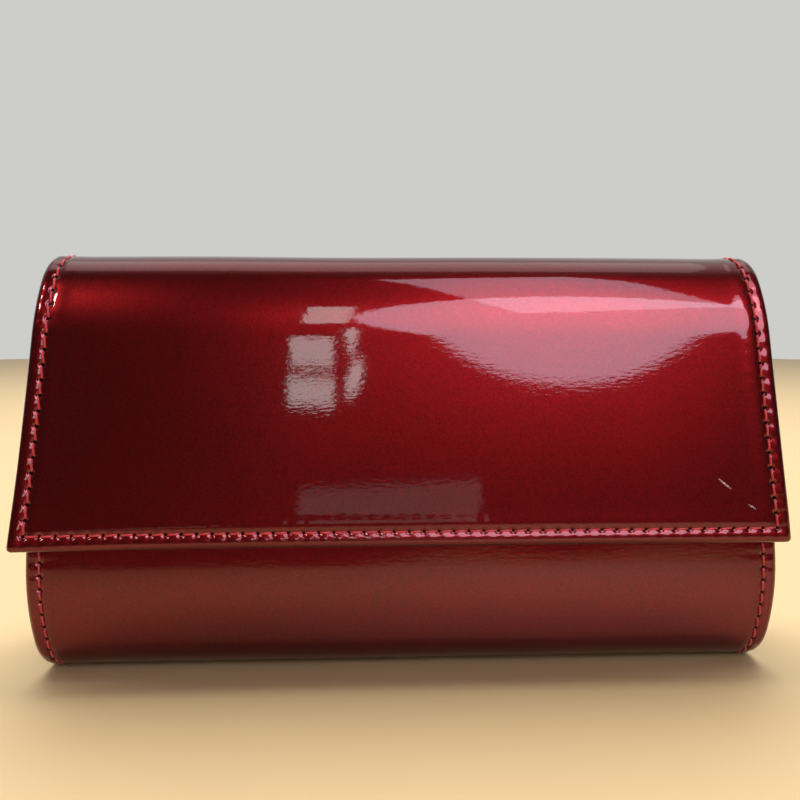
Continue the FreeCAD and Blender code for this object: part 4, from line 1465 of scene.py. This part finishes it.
        def depth(x: Array, s: Array) -> Array:
            """Depth of the pocket, which stands off the lining between its seams.

            Args:
                x: Across the bag.
                s: Length along the lining's line.

            Returns:
                Depths below the outer face.
            """
            side = self.slip_half - np.abs(x)
            rise = smooth((np.minimum(side, end - s) - self.slip_seam) / (2.4 * MM))
            belly_out = (1 - (x / self.slip_half) ** 2) ** 2
            slack = self.slip_slack * belly_out * np.exp(-(s - start) / (16 * MM))
            ledge = 0.3 * MM * (1 - smooth((s - start - hem) / (0.6 * MM) + 0.5))
            return base + rise * (self.slip_room + slack + ripple(x, s, 0.5 * MM, 12)) + ledge

        piece = strip("slip_pocket_cloth", cloth, self.path, rows,
                      lambda z: np.full_like(z, self.slip_half), depth, self.cloth, 150)
        settle(piece, "slip_pocket", Body.BAG)
        return piece

    def build(self, use: Finishes) -> list[bpy.types.Object]:
        """Builds the linings, the facing, the pocket and the flap's stiffening.

        Args:
            use: The bag's finishes.

        Returns:
            The finished pieces.
        """
        return [self.shell(use.cloth), self.facing(use.patent), self.flap(use.cloth),
                *self.stiffening(use), self.slip(use.cloth)]


@dataclass
class Gusset:
    """Pleated side of the bag: a flange glued in the wrap and a web that folds inwards."""

    side: Side
    top: float = WRAP.mouth_height - 4.0 * MM
    recess: float = 8.7 * MM
    flange_edge: float = 1.5 * MM
    pleat: float = 13.0 * MM
    pleat_start: float = 18.0 * MM
    crease: float = 0.0045
    sheet: float = 0.8 * MM
    turn: float = 1.3 * MM
    cut: tuple[float, float] = (36.0 * MM, 102.0 * MM)
    foot: float = 14.0 * MM
    levels: int = 44
    across: int = 40

    def frame_line(self, path: Path, depth: float, ends: tuple[float, float],
                   corners: tuple[float, float]) -> tuple[Array, Array]:
        """Lengths along a path round the web's rim, and its four borders.

        Args:
            path: Line of the wrap or the lining.
            depth: Depth of the rim.
            ends: Lengths of the front's and the back's top.
            corners: Lengths where the front and the back meet the base.

        Returns:
            The rim's lengths, and its Y and Z.
        """
        front = np.linspace(ends[0], corners[0], self.levels + 1)
        base = np.linspace(corners[0], corners[1], self.across + 1)
        back = np.linspace(corners[1], ends[1], self.levels + 1)
        s = np.concatenate([front, base[1:-1], back])
        y, z, _ = path.at(s, depth)
        return s, np.stack([y, z], axis=-1)

    def web(self, rim: Array, recess: float) -> Array:
        """Points of the web inside its rim.

        Args:
            rim: Y and Z round the rim, from the front's top to the back's.
            recess: Web's distance from the wrap's edge.

        Returns:
            Grid of points, from the top down and the front back.
        """
        rows, cols = self.levels + 1, self.across + 1
        front, back = rim[:rows], rim[-rows:][::-1]
        base = np.concatenate([[front[-1]], rim[rows:-rows], [back[-1]]])
        v = np.linspace(0, 1, cols)[None, :, None]
        u = np.linspace(0, 1, rows)[:, None, None]
        top = front[0] + (back[0] - front[0]) * v[0]
        across = front[:, None] * (1 - v) + back[:, None] * v
        down = top[None] * (1 - u) + base[None] * u
        corner = ((front[0] * (1 - v) + back[0] * v) * (1 - u)
                  + (base[0] * (1 - v) + base[-1] * v) * u)
        grid = across + down - corner
        z = grid[..., 1]
        near = WRAP.thickness + self.sheet
        front_y = (WRAP.front_y(z) + near / math.cos(math.radians(WRAP.lean)))
        back_y = WRAP.depth / 2 - near
        share = np.clip(np.abs(2 * (grid[..., 0] - front_y) / (back_y - front_y) - 1), 0, 1)
        rounded = np.sqrt(share ** 2 + self.crease) - math.sqrt(self.crease)
        rounded = rounded / (math.sqrt(1 + self.crease) - math.sqrt(self.crease))
        gain = np.maximum(0, z - self.pleat_start) / (self.top - self.pleat_start)
        fold = self.pleat * gain * smooth(gain * 6)
        soft = 1 - rounded + 0.10 * np.sin(math.pi * share) * np.minimum(gain * 3, 1)
        x = WRAP.half_width(z) - recess - fold * soft
        return np.stack([self.side.value * x, grid[..., 0], z], axis=-1)

    def build(self, use: Finishes) -> list[bpy.types.Object]:
        """Builds the gusset and the cloth behind it.

        Args:
            use: The bag's finishes.

        Returns:
            The finished pieces.
        """
        linings = Linings()
        label = self.side.name.lower()
        slope = math.cos(math.radians(WRAP.lean))
        face = WRAP.thickness + 0.05 * MM + self.sheet
        ends = ((WRAP.mouth_height - self.top) / slope,
                WRAP.back_start + self.top - 12 * MM)
        corners = (WRAP.toe_start + 7 * MM, WRAP.base_end + 9 * MM)
        s, rim = self.frame_line(WRAP.path, face + self.turn, ends, corners)
        maker = MeshBuilder()
        inner = maker.add(self.web(rim, self.recess))
        maker.quads(inner)
        last = np.concatenate([inner[:, 0], inner[-1, 1:-1], inner[::-1, -1]])
        steps = [(self.recess - self.turn * (1 - math.cos(a)), face + self.turn * (1 - math.sin(a)))
                 for a in np.radians((22.5, 45, 67.5, 90))]
        steps += [(5.0 * MM, face), (3.0 * MM, face), (self.flange_edge, face)]
        for inset, depth in steps:
            x = self.side.value * (WRAP.edge(s) - inset)
            ids = maker.add(WRAP.place(x, s, depth))
            maker.quads(np.stack([last, ids]))
            last = ids
        piece = thickened(maker.build(f"gusset_{label}_skin", use.patent,
                                      Vector((self.side.value, 0, 0))), self.sheet)
        made = [settle(piece, f"gusset_{label}", Body.BAG)]
        path = linings.path
        depth = linings.face + 0.25 * MM
        ends = ((WRAP.mouth_height - self.top) / slope - linings.trim,
                linings.length_at(self.top))
        corners = (WRAP.toe_start + 7 * MM - linings.trim, float(path.starts[4, 0]) + 9 * MM)
        _, rim = self.frame_line(path, depth, ends, corners)
        maker = MeshBuilder()
        maker.quads(maker.add(self.web(rim, self.recess + self.sheet + 0.25 * MM)))
        piece = maker.build(f"gusset_{label}_lining_cloth", use.cloth,
                            Vector((self.side.value, 0, 0)))
        piece = thickened(piece, linings.cloth)
        made.append(settle(piece, f"gusset_lining_{label}", Body.BAG))
        return made


# ---------------------------------------------------------------- metal and zip pieces
def bevelled_copy(node: str, material: bpy.types.Material, body: Body,
                  width: float) -> bpy.types.Object:
    """Copies a nickel node of the frame as a clean mesh with rounded edges.

    Args:
        node: The frame's node.
        material: Its finish.
        body: Body that it rides on.
        width: Width of the rounding.

    Returns:
        The piece, which stands for the node.
    """
    source = bpy.data.objects[node]
    mesh = source.data.copy()
    mesh.transform(source.matrix_world)
    work = bmesh.new()
    work.from_mesh(mesh)
    bmesh.ops.remove_doubles(work, verts=work.verts, dist=2e-6)
    bmesh.ops.dissolve_limit(work, angle_limit=math.radians(1.0), verts=work.verts,
                             edges=work.edges)
    bmesh.ops.recalc_face_normals(work, faces=work.faces)
    work.to_mesh(mesh)
    work.free()
    mesh.materials.clear()
    mesh.materials.append(material)
    piece = bpy.data.objects.new(f"{node}_metal", mesh)
    bpy.context.scene.collection.objects.link(piece)
    edge = piece.modifiers.new("round", "BEVEL")
    edge.width = width
    edge.segments = 2
    edge.limit_method = "ANGLE"
    edge.angle_limit = math.radians(35)
    edge.harden_normals = False
    finished(piece)
    work = bmesh.new()
    work.from_mesh(piece.data)
    bmesh.ops.dissolve_degenerate(work, dist=1e-6, edges=work.edges)
    work.to_mesh(piece.data)
    work.free()
    for face in piece.data.polygons:
        face.use_smooth = True
    piece.data.set_sharp_from_angle(angle=math.radians(40))
    return settle(piece, node, body)


@dataclass
class Snap:
    """Magnetic snap: a cased ring magnet on the front and a stud under the flap."""

    height: float = 72.0 * MM
    radius: float = 9.0 * MM
    case_height: float = 3.9 * MM
    wall: float = 0.4 * MM
    hole: float = 3.4 * MM
    play: float = 0.1 * MM
    stud_plate: float = 2.0 * MM
    stud_rim: float = 0.9 * MM
    rim_step: float = 1.6 * MM
    segments: int = 72

    def turned(self, name: str, profile: Sequence[tuple[float, float]],
               material: bpy.types.Material, body: Body, node: str,
               slot: str) -> bpy.types.Object:
        """Turns a closed profile of radius and height about the snap's axis.

        Args:
            name: Name of the piece.
            profile: Radius and height of each corner.
            material: Its finish.
            body: Body that it rides on.
            node: Node of the frame that it stands for.
            slot: Not used.

        Returns:
            The piece.
        """
        lean = math.radians(WRAP.lean)
        along = (WRAP.mouth_height - self.height) / math.cos(lean)
        base = WRAP.place(np.array(0.0), np.array(along), 0.0)
        out, up = np.array([0, -math.cos(lean), math.sin(lean)]), np.array(
            [0, math.sin(lean), math.cos(lean)])
        right = np.array([1.0, 0, 0])
        angles = np.linspace(0, 2 * math.pi, self.segments + 1)
        ring = (np.cos(angles)[:, None] * right + np.sin(angles)[:, None] * up)
        radii = np.array([p[0] for p in profile + profile[:1]])
        heights = np.array([p[1] for p in profile + profile[:1]])
        maker = MeshBuilder()
        grid = base + radii[None, :, None] * ring[:, None] + heights[None, :, None] * out
        maker.quads(maker.add(grid))
        piece = maker.build(name, material, merge=2e-6)
        piece.data.set_sharp_from_angle(angle=math.radians(28))
        return settle(piece, node, body)

    @staticmethod
    def eased(corners: Sequence[tuple[float, float]], ease: float) -> list[tuple[float, float]]:
        """Rounds the corners of a closed profile that are off the axis.

        Args:
            corners: Radius and height of each corner.
            ease: Radius of the rounding.

        Returns:
            The profile with three points at each rounded corner.
        """
        made = []
        for i, here in enumerate(corners):
            before, after = corners[i - 1], corners[(i + 1) % len(corners)]
            p, a, b = (np.array(v, float) for v in (here, before, after))
            if here[0] < 1e-6:
                made.append(tuple(p))
                continue
            one, two = (a - p), (b - p)
            cut = min(ease, np.linalg.norm(one) / 2.2, np.linalg.norm(two) / 2.2)
            first = p + one / np.linalg.norm(one) * cut
            last = p + two / np.linalg.norm(two) * cut
            for t in (0.0, 0.25, 0.5, 0.75, 1.0):
                made.append(tuple((1 - t) ** 2 * first + 2 * t * (1 - t) * p + t * t * last))
        return made

    def build(self, use: Finishes) -> list[bpy.types.Object]:
        """Builds both halves of the snap.

        Args:
            use: The bag's finishes.

        Returns:
            The finished pieces.
        """
        r, h, w = self.radius, self.case_height, self.wall
        ledge = 0.05 * MM
        case = [(r, ledge), (r, h - 0.5 * MM), (r - 0.5 * MM, h), (self.hole + 0.6 * MM, h),
                (self.hole, h - 0.45 * MM), (self.hole, h - w - 0.6 * MM),
                (self.hole + w, h - w - 0.6 * MM), (self.hole + w, h - w - 0.15 * MM),
                (r - w, h - w - 0.15 * MM), (r - w, ledge)]
        made = [self.turned("snap_case_cup", self.eased(case, 0.18 * MM), use.nickel, Body.BAG,
                            "snap_socket_case", "nickel")]
        inner = self.hole + w + 0.05 * MM
        outer = r - w - 0.1 * MM
        ring = [(inner, 0.7 * MM), (outer, 0.7 * MM), (outer, h - w - 0.25 * MM),
                (inner, h - w - 0.25 * MM)]
        made.append(self.turned("snap_ring_magnet", self.eased(ring, 0.1 * MM), use.magnet,
                                Body.BAG, "snap_socket_magnet", "magnet"))
        face = h + self.play
        step = r - self.rim_step
        rim = face + self.stud_plate - self.stud_rim
        top = face + self.stud_plate
        stud = [(1e-7, face - 1.8 * MM), (1.9 * MM, face - 1.8 * MM), (2.6 * MM, face - 0.1 * MM),
                (2.9 * MM, face), (step, face), (step, rim), (r, rim), (r, top), (1e-7, top)]
        made.append(self.turned("snap_stud_cap", self.eased(stud, 0.22 * MM), use.nickel,
                                Body.FLAP, "snap_stud", "nickel"))
        return made


@dataclass
class ZipTeeth:
    """Moulded teeth of the zip, set along both tapes by Geometry Nodes."""

    pitch: float = 2.0 * MM
    foot: float = 1.3 * MM
    reach: float = 2.05 * MM
    height: float = 1.4 * MM
    seed: int = 21

    def tree(self, material: bpy.types.Material) -> bpy.types.NodeTree:
        """Makes the node tree that sets a tooth on each point.

        Args:
            material: The teeth's finish.

        Returns:
            A tree with named inputs for the tooth's sizes.
        """
        tree, given = repeat_tree("zip_teeth", "Teeth", self.seed,
                                  {"Foot": self.foot, "Reach": self.reach, "Height": self.height})
        size = add_node(tree, "ShaderNodeCombineXYZ",
                        {"X": given["Foot"], "Y": given["Reach"], "Z": given["Height"]})
        body = add_node(tree, "GeometryNodeMeshCube", {"Size": size.outputs[0]})
        narrow = add_node(tree, "ShaderNodeCombineXYZ", {"X": 0.62, "Y": 0.45, "Z": 0.86})
        head_size = add_node(tree, "ShaderNodeVectorMath",
                             {0: size.outputs[0], 1: narrow.outputs[0]}, operation="MULTIPLY")
        head = add_node(tree, "GeometryNodeMeshCube", {"Size": head_size.outputs[0]})
        shift = add_node(tree, "ShaderNodeMath", {0: given["Reach"], 1: 0.62}, operation="MULTIPLY")
        place = add_node(tree, "ShaderNodeCombineXYZ", {"Y": shift.outputs[0]})
        moved = add_node(tree, "GeometryNodeTransform",
                         {"Geometry": head.outputs[0], "Translation": place.outputs[0]})
        both = add_node(tree, "GeometryNodeJoinGeometry")
        tree.links.new(body.outputs[0], both.inputs[0])
        tree.links.new(moved.outputs[0], both.inputs[0])
        rows = add_node(tree, "GeometryNodeInstanceOnPoints",
                        {"Points": given["Points"], "Instance": both.outputs[0],
                         "Rotation": facing(tree),
                         "Scale": varied(tree, given["Seed"], 0.97, 1.0)})
        real = add_node(tree, "GeometryNodeRealizeInstances", {0: rows.outputs[0]})
        dressed = add_node(tree, "GeometryNodeSetMaterial",
                           {"Geometry": real.outputs[0], "Material": material})
        add_node(tree, "NodeGroupOutput", {"Teeth": dressed.outputs[0]})
        return tree

    def build(self, use: Finishes) -> list[bpy.types.Object]:
        """Sets both rows between the zip's stops.

        Args:
            use: The bag's finishes.

        Returns:
            The finished pieces.
        """
        low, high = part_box("zip_rows")
        middle = (low + high) / 2
        count = int(round((high.x - low.x) / self.pitch))
        x = low.x + (np.arange(count) + 0.5) * (high.x - low.x) / count
        points, along = [], []
        for side in (1, -1):
            shift = 0.25 * self.pitch * side
            for place in x:
                points.append((place + shift, middle.y, middle.z + side * 1.2 * MM))
                along.append((side, 0, 0))
        out = np.tile([0.0, -1.0, 0.0], (len(points), 1))
        piece = grown("zip_teeth", self.tree(use.nylon), np.array(points), out,
                      np.array(along, float))
        return [settle(piece, "zip_rows", Body.BAG)]


# ---------------------------------------------------------------- studio
@dataclass
class Studio:
    """Pale floor, soft lights and the camera."""

    floor_radius: float = 2.5
    camera_place: tuple[float, float, float] = (-0.01174, -0.25801, 0.11912)
    camera_pitch: float = 6.02
    camera_yaw: float = -2.16
    lens: float = 32.99

    def floor(self) -> None:
        """Makes the plain pale floor."""
        mesh = bpy.data.meshes.new("floor")
        work = bmesh.new()
        bmesh.ops.create_circle(work, cap_ends=True, segments=96, radius=self.floor_radius)
        work.to_mesh(mesh)
        work.free()
        material, _, shader = new_material("matt_pale_floor")
        shader.inputs["Base Color"].default_value = linear("#f2d29e")
        shader.inputs["Roughness"].default_value = 0.55
        mesh.materials.append(material)
        floor = bpy.data.objects.new("floor", mesh)
        bpy.context.scene.collection.objects.link(floor)

    def softbox(self, name: str, place: tuple[float, float, float], size: tuple[float, float],
                radiance: float, target: tuple[float, float, float] = (0, 0, 0.08),
                colour: str = "#ffffff", roll: float = 0.0, round_ends: bool = False,
                on: LightOn = LightOn.ALL) -> None:
        """Adds a rectangular soft light that faces the bag.

        Args:
            name: Name of the light.
            place: Its centre.
            size: Width and height.
            radiance: Brightness of its face.
            target: Point that it looks at.
            colour: Light's colour.
            roll: Degrees that it is turned in its own plane.
            round_ends: Whether it is an ellipse.
            on: Which surfaces it lights.
        """
        light = bpy.data.lights.new(name, "AREA")
        light.shape = "ELLIPSE" if round_ends else "RECTANGLE"
        light.size, light.size_y = size
        light.energy = radiance * math.pi * size[0] * size[1]
        light.color = linear(colour)[:3]
        lamp = bpy.data.objects.new(name, light)
        bpy.context.scene.collection.objects.link(lamp)
        lamp.location = place
        lamp.visible_diffuse = on is not LightOn.GLOSS
        lamp.visible_glossy = on is not LightOn.MATT
        aim = (Vector(target) - Vector(place)).to_track_quat("-Z", "Y")
        lamp.rotation_euler = (aim @ Quaternion((0, 0, 1), math.radians(roll))).to_euler()

    def world(self) -> None:
        """A pale room behind the bag and a dimmer one in front of it."""
        world = bpy.data.worlds.new("studio")
        bpy.context.scene.world = world
        world.use_nodes = True
        tree = world.node_tree
        ground = tree.nodes["Background"]
        way = add_node(tree, "ShaderNodeTexCoord").outputs["Generated"]
        split = add_node(tree, "ShaderNodeSeparateXYZ", {0: way})
        lift = add_node(tree, "ShaderNodeMath", {0: split.outputs["Z"], 1: 0.25},
                        operation="MULTIPLY")
        total = add_node(tree, "ShaderNodeMath", {0: split.outputs["Y"], 1: lift.outputs[0]},
                         operation="ADD")
        share = add_node(tree, "ShaderNodeMapRange",
                         {"Value": total.outputs[0], "From Min": -0.15, "From Max": 0.5},
                         interpolation_type="SMOOTHSTEP")
        tree.links.new(mixed_colour(tree, share.outputs["Result"], "#4b4846", "#cdcdca"),
                       ground.inputs["Color"])

    def camera(self) -> None:
        """Puts the camera a hand's length in front of the bag, just above its middle."""
        data = bpy.data.cameras.new("camera")
        data.lens = self.lens
        data.clip_start = 0.01
        camera = bpy.data.objects.new("camera", data)
        bpy.context.scene.collection.objects.link(camera)
        camera.location = self.camera_place
        camera.rotation_euler = (math.radians(90 - self.camera_pitch), 0,
                                 math.radians(self.camera_yaw))
        bpy.context.scene.camera = camera

    def build(self) -> None:
        """Sets the whole studio."""
        self.floor()
        self.world()
        self.camera()
        front = -1.5
        cool = "#f1e6ff"
        gloss = LightOn.GLOSS
        self.softbox("window_large", (0.62, front, 1.96), (0.80, 1.44), 4.6, roll=6, colour=cool,
                     on=gloss)
        self.softbox("window_sill", (0.47, front + 0.01, 0.93), (1.10, 1.04), 5.4,
                     round_ends=True, colour=cool, on=gloss)
        self.softbox("pane_upper", (-0.115, front, 1.02), (0.10, 0.40), 6.6, on=gloss)
        self.softbox("pane_middle", (-0.138, front, 0.50), (0.085, 0.075), 7.0, on=gloss)
        self.softbox("pane_lower", (-0.140, front, 0.410), (0.092, 0.062), 7.0, on=gloss)
        self.softbox("pane_side_upper", (-0.060, front, 0.590), (0.026, 0.20), 5.8,
                     round_ends=True, on=gloss)
        self.softbox("pane_side_lower", (-0.054, front, 0.440), (0.030, 0.085), 5.8, roll=-16,
                     round_ends=True, on=gloss)
        self.softbox("lamp_left", (-1.45, front, 1.75), (0.26, 0.40), 52.0, on=gloss)
        self.softbox("strip_left", (-0.52, front, 0.105), (0.40, 0.06), 0.5, on=gloss)
        self.softbox("strip_middle", (0.04, front, 0.16), (0.40, 0.08), 0.75, on=gloss)
        self.softbox("overhead", (0.0, 0.35, 1.6), (1.6, 1.0), 0.9)
        self.softbox("ceiling", (0.0, 0.45, 1.5), (1.7, 1.0), 4.4, on=LightOn.MATT)
        self.softbox("front_fill", (0.3, front, 1.1), (1.2, 1.2), 1.3, on=LightOn.MATT)
        view = bpy.context.scene.view_settings
        view.view_transform = "Standard"


# ---------------------------------------------------------------- bag
class Finishes:
    """Every finish of the bag, each made once."""

    def __init__(self) -> None:
        """Makes the materials."""
        self.patent = PatentFinish().build()
        self.thread = ThreadFinish().build()
        self.cloth = ClothFinish().build()
        self.pouch_cloth = ClothFinish("woven_polyester_pouch", on_sheet=False).build()
        self.tape = TapeFinish().build()
        # Cut open-cell foam: pale, with no shine.
        self.foam = PlainFinish("polyurethane_foam", "#dcd6c4", 0.95).build()
        # Nickel plated over pressed steel and polished: a warm, slightly worn mirror.
        self.nickel = PlainFinish("polished_nickel_plate", "#c9c4ba", 0.16, 1.0).build()
        # Pressed and fired ferrite: dark grey and matt.
        self.magnet = PlainFinish("ferrite_magnet", "#3b3b3d", 0.7, 0.2).build()
        # Rolled recycled fibre board: dull brown, with no shine.
        self.board = PlainFinish("grey_board", "#a08c70", 0.9).build()
        # Injection-moulded nylon: a soft, half-matt shine.
        self.nylon = PlainFinish("moulded_nylon_teeth", "#6e0d1a", 0.38).build()


BODY_RELIEF = Relief(StitchRow(4.4 * MM), 0.0, WRAP.seam, 0.0, False, seed=3)
FLAP_RELIEF = Relief(StitchRow(4.9 * MM), WRAP.seam, WRAP.end, WRAP.end, True, seed=9)


@dataclass
class Skins:
    """Patent skins of the body and the flap, which meet in a seam behind the crown."""

    body: Relief = field(default_factory=lambda: BODY_RELIEF)
    flap: Relief = field(default_factory=lambda: FLAP_RELIEF)

    def build(self, use: Finishes) -> list[bpy.types.Object]:
        """Builds both skins.

        Args:
            use: The bag's finishes.

        Returns:
            The finished pieces.
        """
        body = TurnedPanel(WRAP.seam, 0.0, self.body, row_step=1.1 * MM, column_step=3.0 * MM)
        flap = TurnedPanel(WRAP.seam, WRAP.end, self.flap)
        return [settle(body.skin("body_patent_skin", use.patent), "body_skin",
                       Body.BAG),
                settle(flap.skin("flap_patent_skin", use.patent), "flap_skin",
                       None)]


class Fittings:
    """Zip slider, pull and stops, and the frame's own nodes that stay in view."""

    def build(self, use: Finishes) -> list[bpy.types.Object]:
        """Rounds the metal pieces and dresses the nodes.

        Args:
            use: The bag's finishes.

        Returns:
            The finished pieces.
        """
        dress({"body_foam": use.foam, "front_board": use.board, "base_board": use.board,
               "back_board": use.board, "zip_pouch": use.pouch_cloth, "zip_tapes": use.tape,
               "snap_socket_plate": use.nickel, "snap_socket_washer": use.nickel,
               "snap_stud_washer": use.nickel})
        return [bevelled_copy("zip_slider", use.nickel, Body.SLIDER, 0.16 * MM),
                bevelled_copy("zip_pull", use.nickel, Body.PULL, 0.2 * MM),
                bevelled_copy("zip_stops", use.nickel, Body.BAG, 0.25 * MM)]


def dress(finishes: dict[str, bpy.types.Material]) -> None:
    """Gives the frame's nodes that stay in view their finish.

    Args:
        finishes: Finish of each node.
    """
    for node, finish in finishes.items():
        mesh = bpy.data.objects[node].data
        mesh.materials.clear()
        mesh.materials.append(finish)


@dataclass
class Seams:
    """Topstitching of the body's sides and of the flap, with its bobbin side inside the bag."""

    body: Relief = field(default_factory=lambda: BODY_RELIEF)
    flap: Relief = field(default_factory=lambda: FLAP_RELIEF)
    sink: float = 0.10 * MM
    pressed: float = 0.65 * MM
    gap: float = 1.05 * MM

    def places(self, relief: Relief, depth: float, far: float = 0.0) -> tuple[Array, Array, Array]:
        """Middles of the stitches, with their outward and forward directions.

        Args:
            relief: Panel that is sewn.
            depth: Depth of the stitches.
            far: Length left out at the open end of the line.

        Returns:
            Points, outward directions and directions along the row.
        """
        low, high = relief.side_line()
        count, pitch = relief.row.fitted(high - low)
        s = low + (np.arange(count) + 0.5) * pitch
        if far:
            s = s[np.abs(s - relief.closed_by) > far]
        parts = []
        for side in Side:
            x = side.value * (WRAP.edge(s) - relief.row.inset)
            parts.append((WRAP.place(x, s, depth - flare(x, s)), WRAP.outward(s), WRAP.along(s)))
        if relief.stitched_cross:
            reach = relief.cross_reach()
            count, pitch = relief.row.fitted(2 * reach)
            x = -reach + (np.arange(count) + 0.5) * pitch
            s = np.full_like(x, relief.closed_by - relief.row.inset)
            parts.append((WRAP.place(x, s, depth - flare(x, s)), WRAP.outward(s),
                          np.tile([1.0, 0.0, 0.0], (count, 1))))
        points, out, along = (np.concatenate(part) for part in zip(*parts))
        return points, out, along

    def build(self, use: Finishes) -> list[bpy.types.Object]:
        """Sews every row.

        Args:
            use: The bag's finishes.

        Returns:
            The finished pieces.
        """
        tree = StitchShape().tree(use.thread)
        points, out, along = self.places(self.body, self.sink)
        points[:, 2] = np.maximum(points[:, 2], self.pressed)
        length = self.body.row.pitch - self.gap
        piece = grown("body_side_stitches", tree, points, out, along, {"Length": length})
        made = [settle(piece, "body_topstitching", Body.BAG)]
        under = WRAP.thickness + 0.9 * MM
        top = (WRAP.mouth_height - Gusset(Side.LEFT).top) / math.cos(math.radians(WRAP.lean))
        points, out, along = self.places(self.body, under, top + 2 * MM)
        keep = points[:, 2] < Gusset(Side.LEFT).top - 1 * MM
        piece = grown("gusset_flange_stitches", tree, points[keep], -out[keep], along[keep],
                      {"Length": length, "Rise": 0.4 * MM})
        made.append(settle(piece, None, Body.BAG))
        points, out, along = self.places(self.flap, self.sink)
        length = self.flap.row.pitch - self.gap
        piece = grown("flap_stitches", tree, points, out, along, {"Length": length})
        made.append(settle(piece, "flap_topstitching", None))
        points, out, along = self.places(self.flap, WRAP.thickness + 0.45 * MM)
        keep = points[:, 1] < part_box("flap_skin")[1].y - 6 * MM
        piece = grown("flap_bobbin_stitches", tree, points[keep], -out[keep], along[keep],
                      {"Length": length, "Rise": 0.4 * MM})
        made.append(settle(piece, None, None))
        return made


def main() -> None:
    """Builds the bag's parts in order, reports each piece, and sets the studio round them."""
    logging.basicConfig(level=logging.INFO, format="%(name)s: %(message)s")
    use = Finishes()
    for part in (Skins(), Seams(), Linings(), Gusset(Side.LEFT), Gusset(Side.RIGHT), Snap(),
                 ZipTeeth(), Fittings()):
        for piece in part.build(use):
            LOG.info("%s: %s, %d faces", type(part).__name__, piece.name,
                     len(piece.data.polygons))
    Studio().build()


if __name__ == "__main__":
    main()
